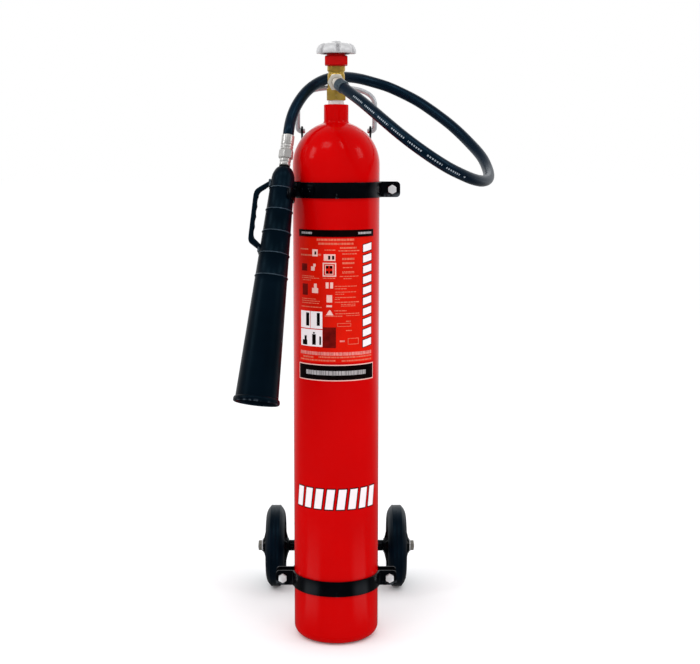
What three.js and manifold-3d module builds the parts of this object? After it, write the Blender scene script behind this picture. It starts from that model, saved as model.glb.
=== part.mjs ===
// Wheeled carbon dioxide fire extinguisher: a steel cylinder with a handwheel valve, a hose with a
// discharge horn, a carry bail on the upper clamp and a two-wheel trolley on the lower clamp.
// Millimetres, +Z up, -Y is the front. The pieces are built about the cylinder's axis; the finished
// group is then moved so that the middle of its footprint on the floor is the origin.
import * as THREE from 'three';
import { mergeVertices } from 'three/addons/utils/BufferGeometryUtils.js';
import Module from 'manifold-3d';

const wasm = await Module();
wasm.setup();

// ---------------------------------------------------------------- driving dimensions

const gap = 0.3;                    // clearance between neighbouring pieces

// cylinder
const cylinderDiameter = 140;
const cylinderWall = 5;
const shoulderHeight = 782;         // where the hemispherical shoulder begins
const baseThickness = 7;
const baseCornerRadius = 17;
const footInnerRadius = 40;
const dimpleRise = 6;
const neckDiameter = 39.5;
const neckHeight = 96;              // shoulder line to the top of the neck
const neckBoreRadius = 13.1;
const neckFillet = 5;
const neckEdge = 1.5;

// valve, heights above the floor
const shankRadius = 11.6;
const shankLength = 26;
const tapeLength = 22;
const tapeShowing = 6.5;            // thread tape left showing above the neck
const hexFlats = 30;
const hexHeight = 19.5;
const valveBarrelRadius = 13.7;
const valveBarrelLength = 21;
const valveWaistRadius = 12.6;
const valveCollarRadius = 14.3;
const valveCollarHeight = 7;
const valveWaistHeight = 6;
const valveThreadRadius = 12;
const valveThreadLength = 10;
const outletAbove = 27.5;           // outlet axis above the valve's hex
const outletBossRadius = 12;
const outletBossReach = 17;
const outletStubRadius = 8.5;
const outletStubLength = 10;
const outletBoreRadius = 4;
const chamberRadius = 9;
const chamberFloorAbove = 17.5;     // valve seat above the valve's hex
const supplyBoreRadius = 3;
const safetyBossRadius = 8;
const safetyBossReach = 22;
const safetyBoreRadius = 5.5;
const safetyBoreDepth = 8;
const safetyPortRadius = 2;
const discThickness = 0.8;
const safetyHexFlats = 14;
const safetyHexHeight = 6;
const safetyVentRadius = 1.5;

// parts inside the valve
const plugRadius = 7.7;
const plugHeight = 17;
const plugSealRadius = 6;
const plugSealThickness = 2.2;
const plugSocketDepth = 2;
const plugBoreFloor = 5;
const plugLift = 4;                 // how far the plug rises when the valve is opened
const spindleRadius = 4.1;
const spindleCollarRadius = 7.5;
const spindleCollarHeight = 4;
const spindleCollarBelowRim = 18;   // underside of the collar below the valve's rim
const spindleStemRadius = 5;
const packingHeight = 8;
const siphonOuterRadius = 5.5;
const siphonBoreRadius = 4;
const siphonSocketDepth = 14;
const siphonClearance = 13;         // open height below the siphon tube

// gland nut and handwheel
const glandWidth = 36;
const glandCornerCut = 3;
const glandHeight = 15;
const glandSkirtRadius = 15;
const glandSkirtHeight = 1.2;
const glandCrownRadius = 15.2;
const glandCrownHeight = 3;
const handwheelRadius = 31.7;
const handwheelLobes = 6;
const handwheelLobeDepth = 4.5;
const handwheelHeight = 16;
const handwheelEdge = 5;
const handwheelHubRadius = 10;
const handwheelHubHeight = 13.6;
const handwheelCavityRadius = 22;
const handwheelCavityDepth = 5;
const handwheelBoreRadius = 4.3;
const spindleTopRadius = 4;
const handwheelNutFlats = 13;
const handwheelNutHeight = 5.5;

// hose and its fittings
const hoseDiameter = 17.5;
const hoseSides = 10;
const hoseSteps = 50;
const unionFlats = 24;
const unionLength = 14;
const tailRadius = 6.5;
const tailBoreRadius = 4;
const tailFlangeThickness = 2.5;
const elbowStraight = 12.2;
const elbowLeg = 8;
const ferruleRadius = 10.2;
const valveFerruleLength = 16;
const hornFerruleLength = 25;
const ferruleGroove = 0.7;
const swivelNutFlats = 21;
const swivelNutLength = 13;
const adapterRadius = 9;
const adapterLength = 11.5;
const adapterShankRadius = 4.5;
const adapterShankLength = 9;
const adapterSpigotLength = 9;
const adapterBoreRadius = 2.2;
const sealRadius = 8.6;
const sealThickness = 2;

// discharge horn, measured down its own axis from its throat
const hornThroatAside = 81.5;
const hornThroatForward = 45;
const hornThroatBelow = 3;          // below the shoulder line
const hornLeanForward = 18;         // degrees
const hornLeanSideways = 6.5;       // degrees
const hornLength = 376;
const hornWall = 3;
const hornNeckRadius = 8.6;
const hornShoulderRadius = 18.3;
const hornShoulderEnd = 20;
const hornMouthRadius = 33.6;
const hornRimRadius = 36;
const hornRimLength = 8;
const hornRibFirst = 36.8;
const hornRibSpacing = 35.4;
const hornRibCount = 5;
const hornRibHeight = 1.2;
const hornRibWidth = 4;
const hornChamberStart = 13;

// horn handle
const handleThickness = 8.5;
const handleUpperStart = 18.5;      // distances down the horn's axis
const handleUpperCorner = 47;
const handleLowerCorner = 121;
const handleLowerEnd = 144.5;
const handleArmWidth = 8.5;
const handleGripInner = 35;         // distances from the horn's axis
const handleGripOuter = 43.2;
// rounding of the grip's outline: [in from its outer face, down from the corner]
const handleUpperRounding = [[4, -8.5], [1.2, -4.5], [0, 1]];
const handleLowerRounding = [[0, -1], [1.4, 4], [4, 6.7]];
const handleInnerRounding = [2.3, -7];
const handleInnerTopDrop = 4.5;      // inner corners, down and up from the outer ones
const handleInnerLowRise = 4;
const handleRootDepth = 0.7;         // share of the shoulder's radius that the arms reach in to
const handleCollarStarts = [22, 129];
const handleCollarHeight = 11;
const handleCollarWall = 3;
const handleCollarFrom = 98;        // degrees round the horn from +X
const handleCollarTo = 193;
const handleScallops = 4;
const perScallop = 6;               // points along each scallop
const handleScallopDepth = 1.6;
const handleScrewAngle = 132;
const handleScrewRadius = 2;
const handleScrewHeadRadius = 3.6;
const handleScrewHeadHeight = 2;

// horn clip
const clipStart = 36;
const clipHeight = 18;
const clipWall = 2;
const clipPlay = 0.8;
const clipMouthBehind = 66;         // degrees to each side of the cylinder's far side
const clipMouthAhead = 85;
const clipStrapFrom = 203;          // degrees round the cylinder from +X
const clipStrapTo = 242;
const clipStrapRise = 5;            // lower edge of the strap above the band's
const clipStrapHeight = 16;
const clipBridgeWidth = 14;
const clipBridgeRise = 2;           // lower edge of the bridge above the band's
const clipBridgeHeight = 24;
const clipRivetAngles = [224, 236];
const clipRivetRise = 13;           // rivets above the band's lower edge
const rivetRadius = 2;
const rivetHeadRadius = 3.8;
const rivetHeadHeight = 1.6;

// clamps
const bandThickness = 3;
const bandHeight = 25;
const upperClampDrop = 51;          // lower edge of the band below the shoulder line
const upperEarReach = 103;
const upperEarFace = 3;             // half the gap between the two ears
const upperBoltInset = 13;          // bolt from the ear's end
const lowerClampLow = 85;
const lowerEarReach = 101;
const lowerEarFace = 9;
const lowerBoltInset = 11.5;
const earCorner = 6;
const boltRadius = 4;
const boltFlats = 13;
const boltHeadHeight = 5.3;
const boltNutHeight = 6.5;
const boltBeyondNut = 2;

// carry bail and its lugs
const bailRodRadius = 4;
const bailSpan = 126;               // between the centres of the legs
const bailLeg = 41;                 // pivot to the start of the arch
const bailArchHeight = 29;
const bailArchPower = 2.4;          // 2 would be an ellipse
const bailCorner = 6;
const bailPinReach = 12;            // from the leg's centre inwards
const bailHolePlay = 0.6;           // round the pin in its lug
const bailPivotY = 53;
const bailPivotAbove = 55;          // pivot above the shoulder line
const bailSides = 8;
const bailSteps = 40;
const lugThickness = 3;
const lugWidth = 16;
const lugPlay = 1.5;                // side play between the lug and the bail's leg

// trolley
const wheelRadius = 75;
const axleBehind = 241;             // axle behind the cylinder's axis
const wheelTrackHalf = 112;
const tyreWidth = 35;
const tyreInnerRadius = 52;
const tyreChamfer = 7;
const tyreSidewall = 2;
const hubWidth = 48;
const hubBossRadius = 16;
const hubWebThickness = 11;
const hubRimWidth = 29;
const hubRimRadius = 45;
const bushOuterRadius = 7.4;
const axleRadius = 5;
const axleTubeRadius = 10;
const axleTubeWall = 4.6;
const wheelWasherRadius = 11;
const wheelWasherThickness = 2;
const axleNutFlats = 17;
const axleNutHeight = 6;
const axleEndShowing = 1;
const armOffset = 50;               // inner face of each arm from the middle plane
const armThickness = 5;
const armEyeRadius = 16;

// facets round a turned piece
const fine = 32;
const medium = 20;
const coarse = 14;

// ---------------------------------------------------------------- finishes

const finishes = {
  redPaint: { color: 0xc4000a, roughness: 0.28, metalness: 0.1 },
  blackPaint: { color: 0x0b0c0f, roughness: 0.38, metalness: 0.1 },
  blackPlastic: { color: 0x101418, roughness: 0.35, metalness: 0 },
  hoseRubber: { color: 0x0c1720, roughness: 0.42, metalness: 0 },
  tyreRubber: { color: 0x0d0f12, roughness: 0.6, metalness: 0 },
  hubPlastic: { color: 0x121417, roughness: 0.45, metalness: 0 },
  brass: { color: 0xc79a3a, roughness: 0.3, metalness: 1 },
  castAluminium: { color: 0xdcdcda, roughness: 0.35, metalness: 0.9 },
  zinc: { color: 0xb9bbbd, roughness: 0.32, metalness: 1 },
  steelRod: { color: 0xc4c6c8, roughness: 0.25, metalness: 1 },
  tape: { color: 0xe9e9e6, roughness: 0.6, metalness: 0 },
  nylon: { color: 0xd8d4c8, roughness: 0.5, metalness: 0 },
};

// ---------------------------------------------------------------- tools for solids

const degrees = THREE.MathUtils.degToRad;
const fullTurn = 2 * Math.PI;

// Welds the vertices, drops faces without area and turns the faces outwards.
function closedBody(geometry) {
  const bare = new THREE.BufferGeometry();
  bare.setAttribute('position', geometry.getAttribute('position').clone());
  if (geometry.index) bare.setIndex(geometry.index.clone());
  const welded = mergeVertices(bare, 1e-4);
  const position = welded.getAttribute('position');
  const corner = [new THREE.Vector3(), new THREE.Vector3(), new THREE.Vector3()];
  const faces = [];
  let sixVolumes = 0;
  for (let i = 0; i < welded.index.count; i += 3) {
    const face = [0, 1, 2].map((k) => welded.index.getX(i + k));
    if (new Set(face).size < 3) continue;
    face.forEach((vertex, k) => corner[k].fromBufferAttribute(position, vertex));
    sixVolumes += corner[0].dot(corner[1].clone().cross(corner[2]));
    faces.push(face);
  }
  const outward = sixVolumes < 0 ? faces.map(([a, b, c]) => [a, c, b]) : faces;
  welded.setIndex(outward.flat());
  return welded;
}

function toManifold(geometry) {
  const body = closedBody(geometry);
  return new wasm.Manifold(new wasm.Mesh({
    numProp: 3,
    vertProperties: new Float32Array(body.getAttribute('position').array),
    triVerts: new Uint32Array(body.index.array),
  }));
}

function fromManifold(manifold) {
  const mesh = manifold.getMesh();
  const geometry = new THREE.BufferGeometry();
  const positions = new Float32Array(mesh.numVert * 3);
  for (let i = 0; i < mesh.numVert; i += 1) {
    for (let k = 0; k < 3; k += 1) positions[3 * i + k] = mesh.vertProperties[i * mesh.numProp + k];
  }
  geometry.setAttribute('position', new THREE.BufferAttribute(positions, 3));
  geometry.setIndex(Array.from(mesh.triVerts));
  return geometry;
}

const joined = (...geometries) => fromManifold(
  geometries.map(toManifold).reduce((whole, next) => whole.add(next)));
const cut = (geometry, ...tools) => fromManifold(
  tools.map(toManifold).reduce((rest, tool) => rest.subtract(tool), toManifold(geometry)));
const common = (a, b) => fromManifold(toManifold(a).intersect(toManifold(b)));

// Turns a closed [radius, height] outline round Z. Outlines start and end on the axis or are rings.
function turned(outline, segments = medium) {
  const points = outline.map(([radius, height]) => new THREE.Vector2(radius, height));
  const first = points[0];
  const last = points[points.length - 1];
  if (first.x > 0 || last.x > 0) points.push(first.clone());
  return closedBody(new THREE.LatheGeometry(points, segments).rotateX(Math.PI / 2));
}

const rod = (radius, low, high, segments = medium) =>
  turned([[0, low], [radius, low], [radius, high], [0, high]], segments);
const ring = (inner, outer, low, high, segments = medium) =>
  turned([[inner, low], [outer, low], [outer, high], [inner, high]], segments);

// Points of an arc in an outline, angles in degrees from the first coordinate's direction.
function arc(centreA, centreB, radius, from, to, steps) {
  const points = [];
  for (let i = 0; i <= steps; i += 1) {
    const angle = degrees(from + (to - from) * i / steps);
    points.push([centreA + radius * Math.cos(angle), centreB + radius * Math.sin(angle)]);
  }
  return points;
}

const outlineShape = (points) => new THREE.Shape(points.map(([a, b]) => new THREE.Vector2(a, b)));

function roundHole(radius, a = 0, b = 0) {
  return new THREE.Path().absarc(a, b, radius, 0, fullTurn, true);
}

function plate(shape, low, high, curveSegments = 10) {
  const settings = { depth: high - low, bevelEnabled: false, curveSegments };
  return new THREE.ExtrudeGeometry(shape, settings).translate(0, 0, low);
}

// Stands a solid that was drawn in XY on another pair of axes: its Z becomes X or -Y.
const drawnInYZ = (geometry) => geometry.applyMatrix4(new THREE.Matrix4().makeBasis(
  new THREE.Vector3(0, 1, 0), new THREE.Vector3(0, 0, 1), new THREE.Vector3(1, 0, 0)));
const drawnInXZ = (geometry) => geometry.rotateX(Math.PI / 2);

// Hexagon across its flats, with one corner at the given angle.
function hexagon(flats, cornerAt = 0) {
  const corners = arc(0, 0, flats / Math.sqrt(3), cornerAt, cornerAt + 300, 5);
  return outlineShape(corners);
}

function hexNut(flats, boreRadius, low, high, cornerAt = 0) {
  const shape = hexagon(flats, cornerAt);
  shape.holes.push(roundHole(boreRadius));
  return plate(shape, low, high, 8);
}

function roundedRectangle(left, bottom, right, top, radius) {
  return outlineShape([
    ...arc(right - radius, bottom + radius, radius, 270, 360, 3),
    ...arc(right - radius, top - radius, radius, 0, 90, 3),
    ...arc(left + radius, top - radius, radius, 90, 180, 3),
    ...arc(left + radius, bottom + radius, radius, 180, 270, 3),
  ]);
}

// A wedge round Z that holds everything between two angles, used to cut a ring to an arc.
function wedge(from, to, reach, low, high) {
  const steps = Math.max(2, Math.ceil(Math.abs(to - from) / 40));
  return plate(outlineShape([[0, 0], ...arc(0, 0, reach, from, to, steps)]), low, high);
}

// ---------------------------------------------------------------- the group

const extinguisher = new THREE.Group();
extinguisher.name = 'wheeled_fire_extinguisher';

function addPiece(name, geometry, finish, parent = extinguisher) {
  const piece = new THREE.Mesh(closedBody(geometry), new THREE.MeshStandardMaterial(finish));
  piece.name = name;
  parent.add(piece);
  return piece;
}

// ---------------------------------------------------------------- derived places

const cylinderRadius = cylinderDiameter / 2;
const neckRadius = neckDiameter / 2;
const neckTop = shoulderHeight + neckHeight;
const upperClampLow = shoulderHeight - upperClampDrop;
const clipStrapLow = upperClampLow + clipStrapRise;
const clipBridgeLow = upperClampLow + clipBridgeRise;
const clipRivetHeight = upperClampLow + clipRivetRise;
const bailPivotHeight = shoulderHeight + bailPivotAbove;
const hornThroat = new THREE.Vector3(
  -hornThroatAside, -hornThroatForward, shoulderHeight - hornThroatBelow);
const hexBottom = neckTop + tapeShowing;
const hexTop = hexBottom + hexHeight;
const outletHeight = hexBottom + outletAbove;
const seatHeight = hexBottom + chamberFloorAbove;
const barrelTop = hexTop + valveBarrelLength;
const collarLow = barrelTop + valveWaistHeight;
const collarTop = collarLow + valveCollarHeight;
const valveRim = collarTop + valveThreadLength;
const glandBottom = collarTop + gap;
const glandTop = glandBottom + glandSkirtHeight + glandHeight + glandCrownHeight;
const handwheelLow = glandTop + gap;
const spindleShoulder = handwheelLow + 2;
const bandInner = cylinderRadius + gap;
const bandOuter = bandInner + bandThickness;
const upperBoltOffset = upperEarReach - upperBoltInset;
const lowerBoltOffset = lowerEarReach - lowerBoltInset;

// ---------------------------------------------------------------- cylinder

function cylinderShell() {
  const filletCentre = neckRadius + neckFillet;
  const filletHeight = shoulderHeight
    + Math.sqrt((cylinderRadius + neckFillet) ** 2 - filletCentre ** 2);
  const meet = THREE.MathUtils.radToDeg(
    Math.acos(filletCentre / (cylinderRadius + neckFillet)));
  const innerRadius = cylinderRadius - cylinderWall;
  const innerMeet = THREE.MathUtils.radToDeg(Math.acos(neckBoreRadius / innerRadius));
  const innerCorner = baseCornerRadius - cylinderWall;
  const foot = cylinderRadius - baseCornerRadius;
  return turned([
    [0, dimpleRise], [footInnerRadius * 0.5, dimpleRise * 0.78], [footInnerRadius * 0.85, dimpleRise * 0.3],
    [footInnerRadius, 0],
    ...arc(foot, baseCornerRadius, baseCornerRadius, 270, 360, 4),
    ...arc(0, shoulderHeight, cylinderRadius, 0, meet, 9),
    ...arc(filletCentre, filletHeight, neckFillet, 180 + meet, 180, 2).slice(1),
    [neckRadius, neckTop - neckEdge], [neckRadius - neckEdge, neckTop],
    [neckBoreRadius, neckTop],
    ...arc(0, shoulderHeight, innerRadius, innerMeet, 0, 5),
    ...arc(innerRadius - innerCorner, innerCorner + baseThickness, innerCorner, 0, -60, 2),
    [footInnerRadius, baseThickness + 2],
    [footInnerRadius * 0.5, dimpleRise * 0.78 + baseThickness], [0, dimpleRise + baseThickness],
  ], fine);
}

addPiece('cylinder_shell', cylinderShell(), finishes.redPaint);

const siphonTop = hexBottom - shankLength + siphonSocketDepth - gap;
const siphonLow = dimpleRise + baseThickness + siphonClearance;
addPiece('siphon_tube', ring(siphonBoreRadius, siphonOuterRadius, siphonLow, siphonTop, coarse),
  finishes.zinc);

addPiece('neck_thread_tape',
  ring(shankRadius + gap, neckBoreRadius - gap, hexBottom - gap - tapeLength, hexBottom - gap),
  finishes.tape);

// ---------------------------------------------------------------- valve body

const outletFront = outletBossReach + outletStubLength;
const safetyHeight = hexBottom + hexHeight / 2;

// A rod along Y at the given height; near and far are Y values.
const rodAlongY = (radius, near, far, height, segments = coarse) =>
  drawnInXZ(rod(radius, -far, -near, segments)).translate(0, 0, height);

function valveBody() {
  const barrel = turned([
    [0, hexBottom - shankLength], [shankRadius - 1, hexBottom - shankLength],
    [shankRadius, hexBottom - shankLength + 1], [shankRadius, hexBottom + 1],
    [valveBarrelRadius, hexBottom + 1], [valveBarrelRadius, barrelTop],
    [valveWaistRadius, barrelTop + 2], [valveWaistRadius, collarLow - 1.5],
    [valveCollarRadius, collarLow], [valveCollarRadius, collarTop],
    [valveThreadRadius, collarTop], [valveThreadRadius, valveRim], [0, valveRim],
  ], medium);
  const hex = common(
    plate(hexagon(hexFlats, 270), hexBottom, hexTop),
    turned([[0, hexBottom - 1], [hexFlats / 2 - 0.4, hexBottom - 1], [hexFlats / 2 + 3, hexBottom + 2.6],
      [hexFlats / 2 + 3, hexTop - 2.6], [hexFlats / 2 - 0.4, hexTop + 1], [0, hexTop + 1]], medium));
  const outlet = joined(
    rodAlongY(outletBossRadius, -outletBossReach, 0, outletHeight, medium),
    rodAlongY(outletStubRadius, -outletFront, 0, outletHeight));
  const safetyBoss = rodAlongY(safetyBossRadius, 0, safetyBossReach, safetyHeight);
  return cut(
    joined(barrel, hex, outlet, safetyBoss),
    rod(siphonOuterRadius + gap, hexBottom - shankLength - 1,
      hexBottom - shankLength + siphonSocketDepth, coarse),
    rod(supplyBoreRadius, hexBottom - shankLength, seatHeight + 1, coarse),
    rod(chamberRadius, seatHeight, valveRim + 1, medium),
    rodAlongY(outletBoreRadius, -outletFront - 1, 0, outletHeight),
    rodAlongY(safetyPortRadius, 0, safetyBossReach - 1, safetyHeight),
    rodAlongY(safetyBoreRadius, safetyBossReach - safetyBoreDepth, safetyBossReach + 1, safetyHeight));
}

addPiece('valve_body', valveBody(), finishes.brass);

const discNear = safetyBossReach - safetyBoreDepth + gap;
addPiece('burst_disc',
  rodAlongY(safetyBoreRadius - gap, discNear, discNear + discThickness, safetyHeight),
  finishes.zinc);

function safetyPlug() {
  const shankNear = discNear + discThickness + gap;
  const headNear = safetyBossReach + gap;
  const head = drawnInXZ(plate(hexagon(safetyHexFlats, 30), -headNear - safetyHexHeight, -headNear));
  return cut(
    joined(rodAlongY(safetyBoreRadius - gap, shankNear, headNear + 1, safetyHeight),
      head.translate(0, 0, safetyHeight)),
    rodAlongY(safetyVentRadius, shankNear - 1, headNear + safetyHexHeight + 1, safetyHeight, 12));
}

addPiece('safety_plug', safetyPlug(), finishes.brass);

// ---------------------------------------------------------------- plug, spindle and gland

const sealLow = seatHeight + gap;
const plugLow = sealLow + plugSealThickness - plugSocketDepth + gap;
const plugBoreLow = plugLow + plugBoreFloor;
const spindleEnd = plugBoreLow + plugLift + 2 * gap;
const spindleCollarLow = valveRim - spindleCollarBelowRim;
const packingLow = spindleCollarLow + spindleCollarHeight + gap;
const packingTop = packingLow + packingHeight;

addPiece('valve_plug_seal', rod(plugSealRadius, sealLow, sealLow + plugSealThickness, coarse),
  finishes.tape);

addPiece('valve_plug', turned([
  [0, plugLow + plugSocketDepth], [plugSealRadius + gap, plugLow + plugSocketDepth],
  [plugSealRadius + gap, plugLow], [plugRadius, plugLow],
  [plugRadius, plugLow + plugHeight], [spindleRadius + gap, plugLow + plugHeight],
  [spindleRadius + gap, plugBoreLow], [0, plugBoreLow],
], coarse), finishes.brass);

const handwheelNutLow = handwheelLow + handwheelHubHeight + gap;
const spindleTop = handwheelNutLow + handwheelNutHeight - 1;

addPiece('spindle', turned([
  [0, spindleEnd], [spindleRadius, spindleEnd], [spindleRadius, spindleCollarLow],
  [spindleCollarRadius, spindleCollarLow], [spindleCollarRadius, spindleCollarLow + spindleCollarHeight],
  [spindleStemRadius, spindleCollarLow + spindleCollarHeight], [spindleStemRadius, spindleShoulder],
  [spindleTopRadius, spindleShoulder], [spindleTopRadius, spindleTop], [0, spindleTop],
], coarse), finishes.zinc);

addPiece('gland_packing',
  ring(spindleStemRadius + gap, chamberRadius - gap, packingLow, packingTop, coarse), finishes.tape);

function glandNut() {
  const half = glandWidth / 2;
  const square = outlineShape([
    [half, -half + glandCornerCut], [half, half - glandCornerCut], [half - glandCornerCut, half],
    [-half + glandCornerCut, half], [-half, half - glandCornerCut], [-half, -half + glandCornerCut],
    [-half + glandCornerCut, -half], [half - glandCornerCut, -half],
  ]);
  const squareLow = glandBottom + glandSkirtHeight;
  const squareTop = squareLow + glandHeight;
  const bevelled = common(
    plate(square, squareLow, squareTop),
    turned([[0, squareLow - 1], [half, squareLow - 1], [half + 8, squareLow + 3],
      [half + 8, squareTop - 3.5], [half - 1, squareTop + 1], [0, squareTop + 1]], medium));
  return cut(
    joined(
      bevelled,
      rod(glandSkirtRadius, glandBottom, squareLow + 1),
      turned([[0, squareTop - 1], [glandCrownRadius, squareTop - 1], [glandCrownRadius, glandTop - 1],
        [glandCrownRadius - 1, glandTop], [0, glandTop]])),
    turned([
      [0, glandBottom - 1], [valveThreadRadius + gap, glandBottom - 1],
      [valveThreadRadius + gap, valveRim + gap], [chamberRadius - gap, valveRim + gap],
      [0, valveRim + gap]]),
    rod(spindleStemRadius + gap, valveRim, glandTop + 1, coarse));
}

// The nut's nose reaches into the valve and holds the packing down.
const glandNose = () => ring(
  spindleStemRadius + gap, chamberRadius - gap, packingTop + gap, valveRim + 1, coarse);
addPiece('gland_nut', joined(glandNut(), glandNose()), finishes.redPaint);

function lobedOutline(inset) {
  const points = [];
  const perLobe = 8;
  for (let i = 0; i < handwheelLobes * perLobe; i += 1) {
    const phase = i / perLobe;
    const notch = Math.abs(Math.cos(Math.PI * (phase % 1))) ** 6;
    const radius = handwheelRadius - inset - handwheelLobeDepth * notch;
    const angle = fullTurn * phase / handwheelLobes - Math.PI / 2 + degrees(6);
    points.push([radius * Math.cos(angle), radius * Math.sin(angle)]);
  }
  return points;
}

function handwheel() {
  const body = new THREE.ExtrudeGeometry(outlineShape(lobedOutline(handwheelEdge)), {
    depth: handwheelHeight - handwheelEdge,
    bevelThickness: handwheelEdge, bevelSize: handwheelEdge, bevelSegments: 3,
  }).translate(0, 0, handwheelLow);
  const trimmed = common(body, rod(handwheelRadius + 1, handwheelLow,
    handwheelLow + handwheelHeight, medium));
  const cavity = ring(handwheelHubRadius, handwheelCavityRadius, handwheelLow - 1,
    handwheelLow + handwheelCavityDepth);
  const dish = turned([[0, handwheelLow + handwheelHubHeight],
    [handwheelHubRadius + 2, handwheelLow + handwheelHubHeight - 1],
    [handwheelCavityRadius, handwheelLow + handwheelHeight + 1],
    [0, handwheelLow + handwheelHeight + 1]]);
  return cut(trimmed, cavity, dish,
    rod(handwheelBoreRadius, handwheelLow - 1, handwheelLow + handwheelHeight + 2, coarse),
    rod(spindleStemRadius + gap, handwheelLow - 1, spindleShoulder + gap, coarse));
}

addPiece('handwheel', handwheel(), finishes.castAluminium);

addPiece('handwheel_nut',
  hexNut(handwheelNutFlats, spindleTopRadius + gap, handwheelNutLow,
    handwheelNutLow + handwheelNutHeight), finishes.zinc);

// ---------------------------------------------------------------- hose and the valve end's fittings

// The free hose, from the valve end's ferrule round to the horn end's ferrule. The third number
// of each point is its height above the shoulder line.
const hoseRoute = [
  [12.3, -58, 119.4], [19, -68.2, 113.7], [37, -96, 99], [56, -121, 82], [76, -143, 64],
  [97, -159, 46], [119, -169, 29], [142, -172, 13], [165, -165, -1], [188, -148, -12],
  [209, -123, -20], [227, -90, -23], [239, -53, -19], [242, -15, -7], [236, 21, 13], [218, 54, 37],
  [193, 81, 63], [165, 102, 86], [138, 117, 105], [112, 126, 119], [87, 128, 130], [63, 122, 137],
  [41, 110, 142], [21, 93, 144], [2, 73, 143], [-16, 54, 139], [-33, 36, 130], [-48, 20, 117],
  [-59.2, 6, 101.8], [-67.5, -6, 85.5], [-72.5, -16, 69.5], [-74.8, -25.9, 55.9], [-75.8, -28.7, 47.2],
].map(([x, y, above]) => new THREE.Vector3(x, y, shoulderHeight + above));

const roundShape = (radius, sides) => outlineShape(arc(0, 0, radius, 0, 360 - 360 / sides, sides - 1));

function hose() {
  const route = new THREE.CatmullRomCurve3(hoseRoute, false, 'centripetal');
  return new THREE.ExtrudeGeometry(roundShape(hoseDiameter / 2, hoseSides), {
    steps: hoseSteps, extrudePath: route,
  });
}

addPiece('hose', hose(), finishes.hoseRubber);

// Direction in which the valve end's ferrule points.
const ferruleAim = new THREE.Vector3(0.5, -0.75, -0.43).normalize();
const elbowKnee = new THREE.Vector3(0, -outletFront - gap - elbowStraight, outletHeight);
const elbowEnd = elbowKnee.clone().addScaledVector(ferruleAim, elbowLeg);

function ferruleOutline(length, inner) {
  const groove = (at) => [
    [ferruleRadius, at - 1.6], [ferruleRadius - ferruleGroove, at - 1],
    [ferruleRadius - ferruleGroove, at + 1], [ferruleRadius, at + 1.6]];
  return [
    [inner, 0], [ferruleRadius - 1, 0], [ferruleRadius, 1],
    ...groove(length * 0.32), ...groove(length * 0.68),
    [ferruleRadius, length - 0.8], [ferruleRadius - 0.8, length], [inner, length],
  ];
}

function alongAim(mesh, foot, aim) {
  mesh.position.copy(foot);
  mesh.quaternion.setFromUnitVectors(new THREE.Vector3(0, 0, 1), aim);
}

alongAim(addPiece('valve_end_ferrule', turned(ferruleOutline(valveFerruleLength, tailBoreRadius), coarse),
  finishes.zinc), elbowEnd.clone().addScaledVector(ferruleAim, gap), ferruleAim);

// The elbow: a flanged tail held by the union nut, a short straight and a bend to the ferrule.
function hoseElbow() {
  const start = new THREE.Vector3(0, -outletFront - gap, outletHeight);
  const bendStart = elbowKnee.clone().add(new THREE.Vector3(0, elbowLeg, 0));
  const path = new THREE.CurvePath();
  path.add(new THREE.LineCurve3(start, bendStart));
  path.add(new THREE.QuadraticBezierCurve3(bendStart, elbowKnee, elbowEnd));
  const shape = roundShape(tailRadius, 14);
  shape.holes.push(outlineShape(arc(0, 0, tailBoreRadius - 1, 0, 330, 11)));
  const tube = new THREE.ExtrudeGeometry(shape, { steps: 9, extrudePath: path });
  const flange = drawnInXZ(ring(tailBoreRadius - 0.5, outletStubRadius - gap, -start.y,
    -start.y + tailFlangeThickness, coarse)).translate(0, 0, outletHeight);
  return joined(tube, flange);
}

addPiece('hose_elbow', hoseElbow(), finishes.zinc);

function unionNut() {
  const near = outletBossReach + gap;
  const far = near + unionLength;
  const body = common(
    plate(hexagon(unionFlats, 0), near, far),
    turned([[0, near - 1], [unionFlats / 2 + 1.5, near - 1], [unionFlats / 2 + 1.5, far - 3],
      [unionFlats / 2 - 1.2, far + 1], [0, far + 1]], medium));
  const pocket = outletFront + gap + tailFlangeThickness + gap;
  return cut(body,
    rod(outletStubRadius + gap, near - 1, pocket, coarse),
    rod(tailRadius + gap, near, far + 1, coarse));
}

addPiece('outlet_union_nut', drawnInXZ(unionNut()).translate(0, 0, outletHeight), finishes.zinc);

// ---------------------------------------------------------------- horn and the horn end's fittings

// In the horn's group Z runs up its axis from the throat, and -X points to the handle.
const hornUp = new THREE.Vector3(
  Math.tan(degrees(hornLeanSideways)), Math.tan(degrees(hornLeanForward)), 1).normalize();
const hornSide = new THREE.Vector3(1, 0, 0).addScaledVector(hornUp, -hornUp.x).normalize();
const hornFrame = new THREE.Matrix4()
  .makeBasis(hornSide, new THREE.Vector3().crossVectors(hornUp, hornSide), hornUp)
  .setPosition(hornThroat);
const hornGroup = new THREE.Group();
hornGroup.applyMatrix4(hornFrame);
extinguisher.add(hornGroup);

const hornRadiusAt = (down) => THREE.MathUtils.mapLinear(
  down, hornShoulderEnd, hornLength, hornShoulderRadius, hornMouthRadius);

function ribOutline(down) {
  const half = hornRibWidth / 2;
  return [
    [hornRadiusAt(down - half), -(down - half)],
    [hornRadiusAt(down) + hornRibHeight, -down],
    [hornRadiusAt(down + half), -(down + half)],
  ];
}

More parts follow.
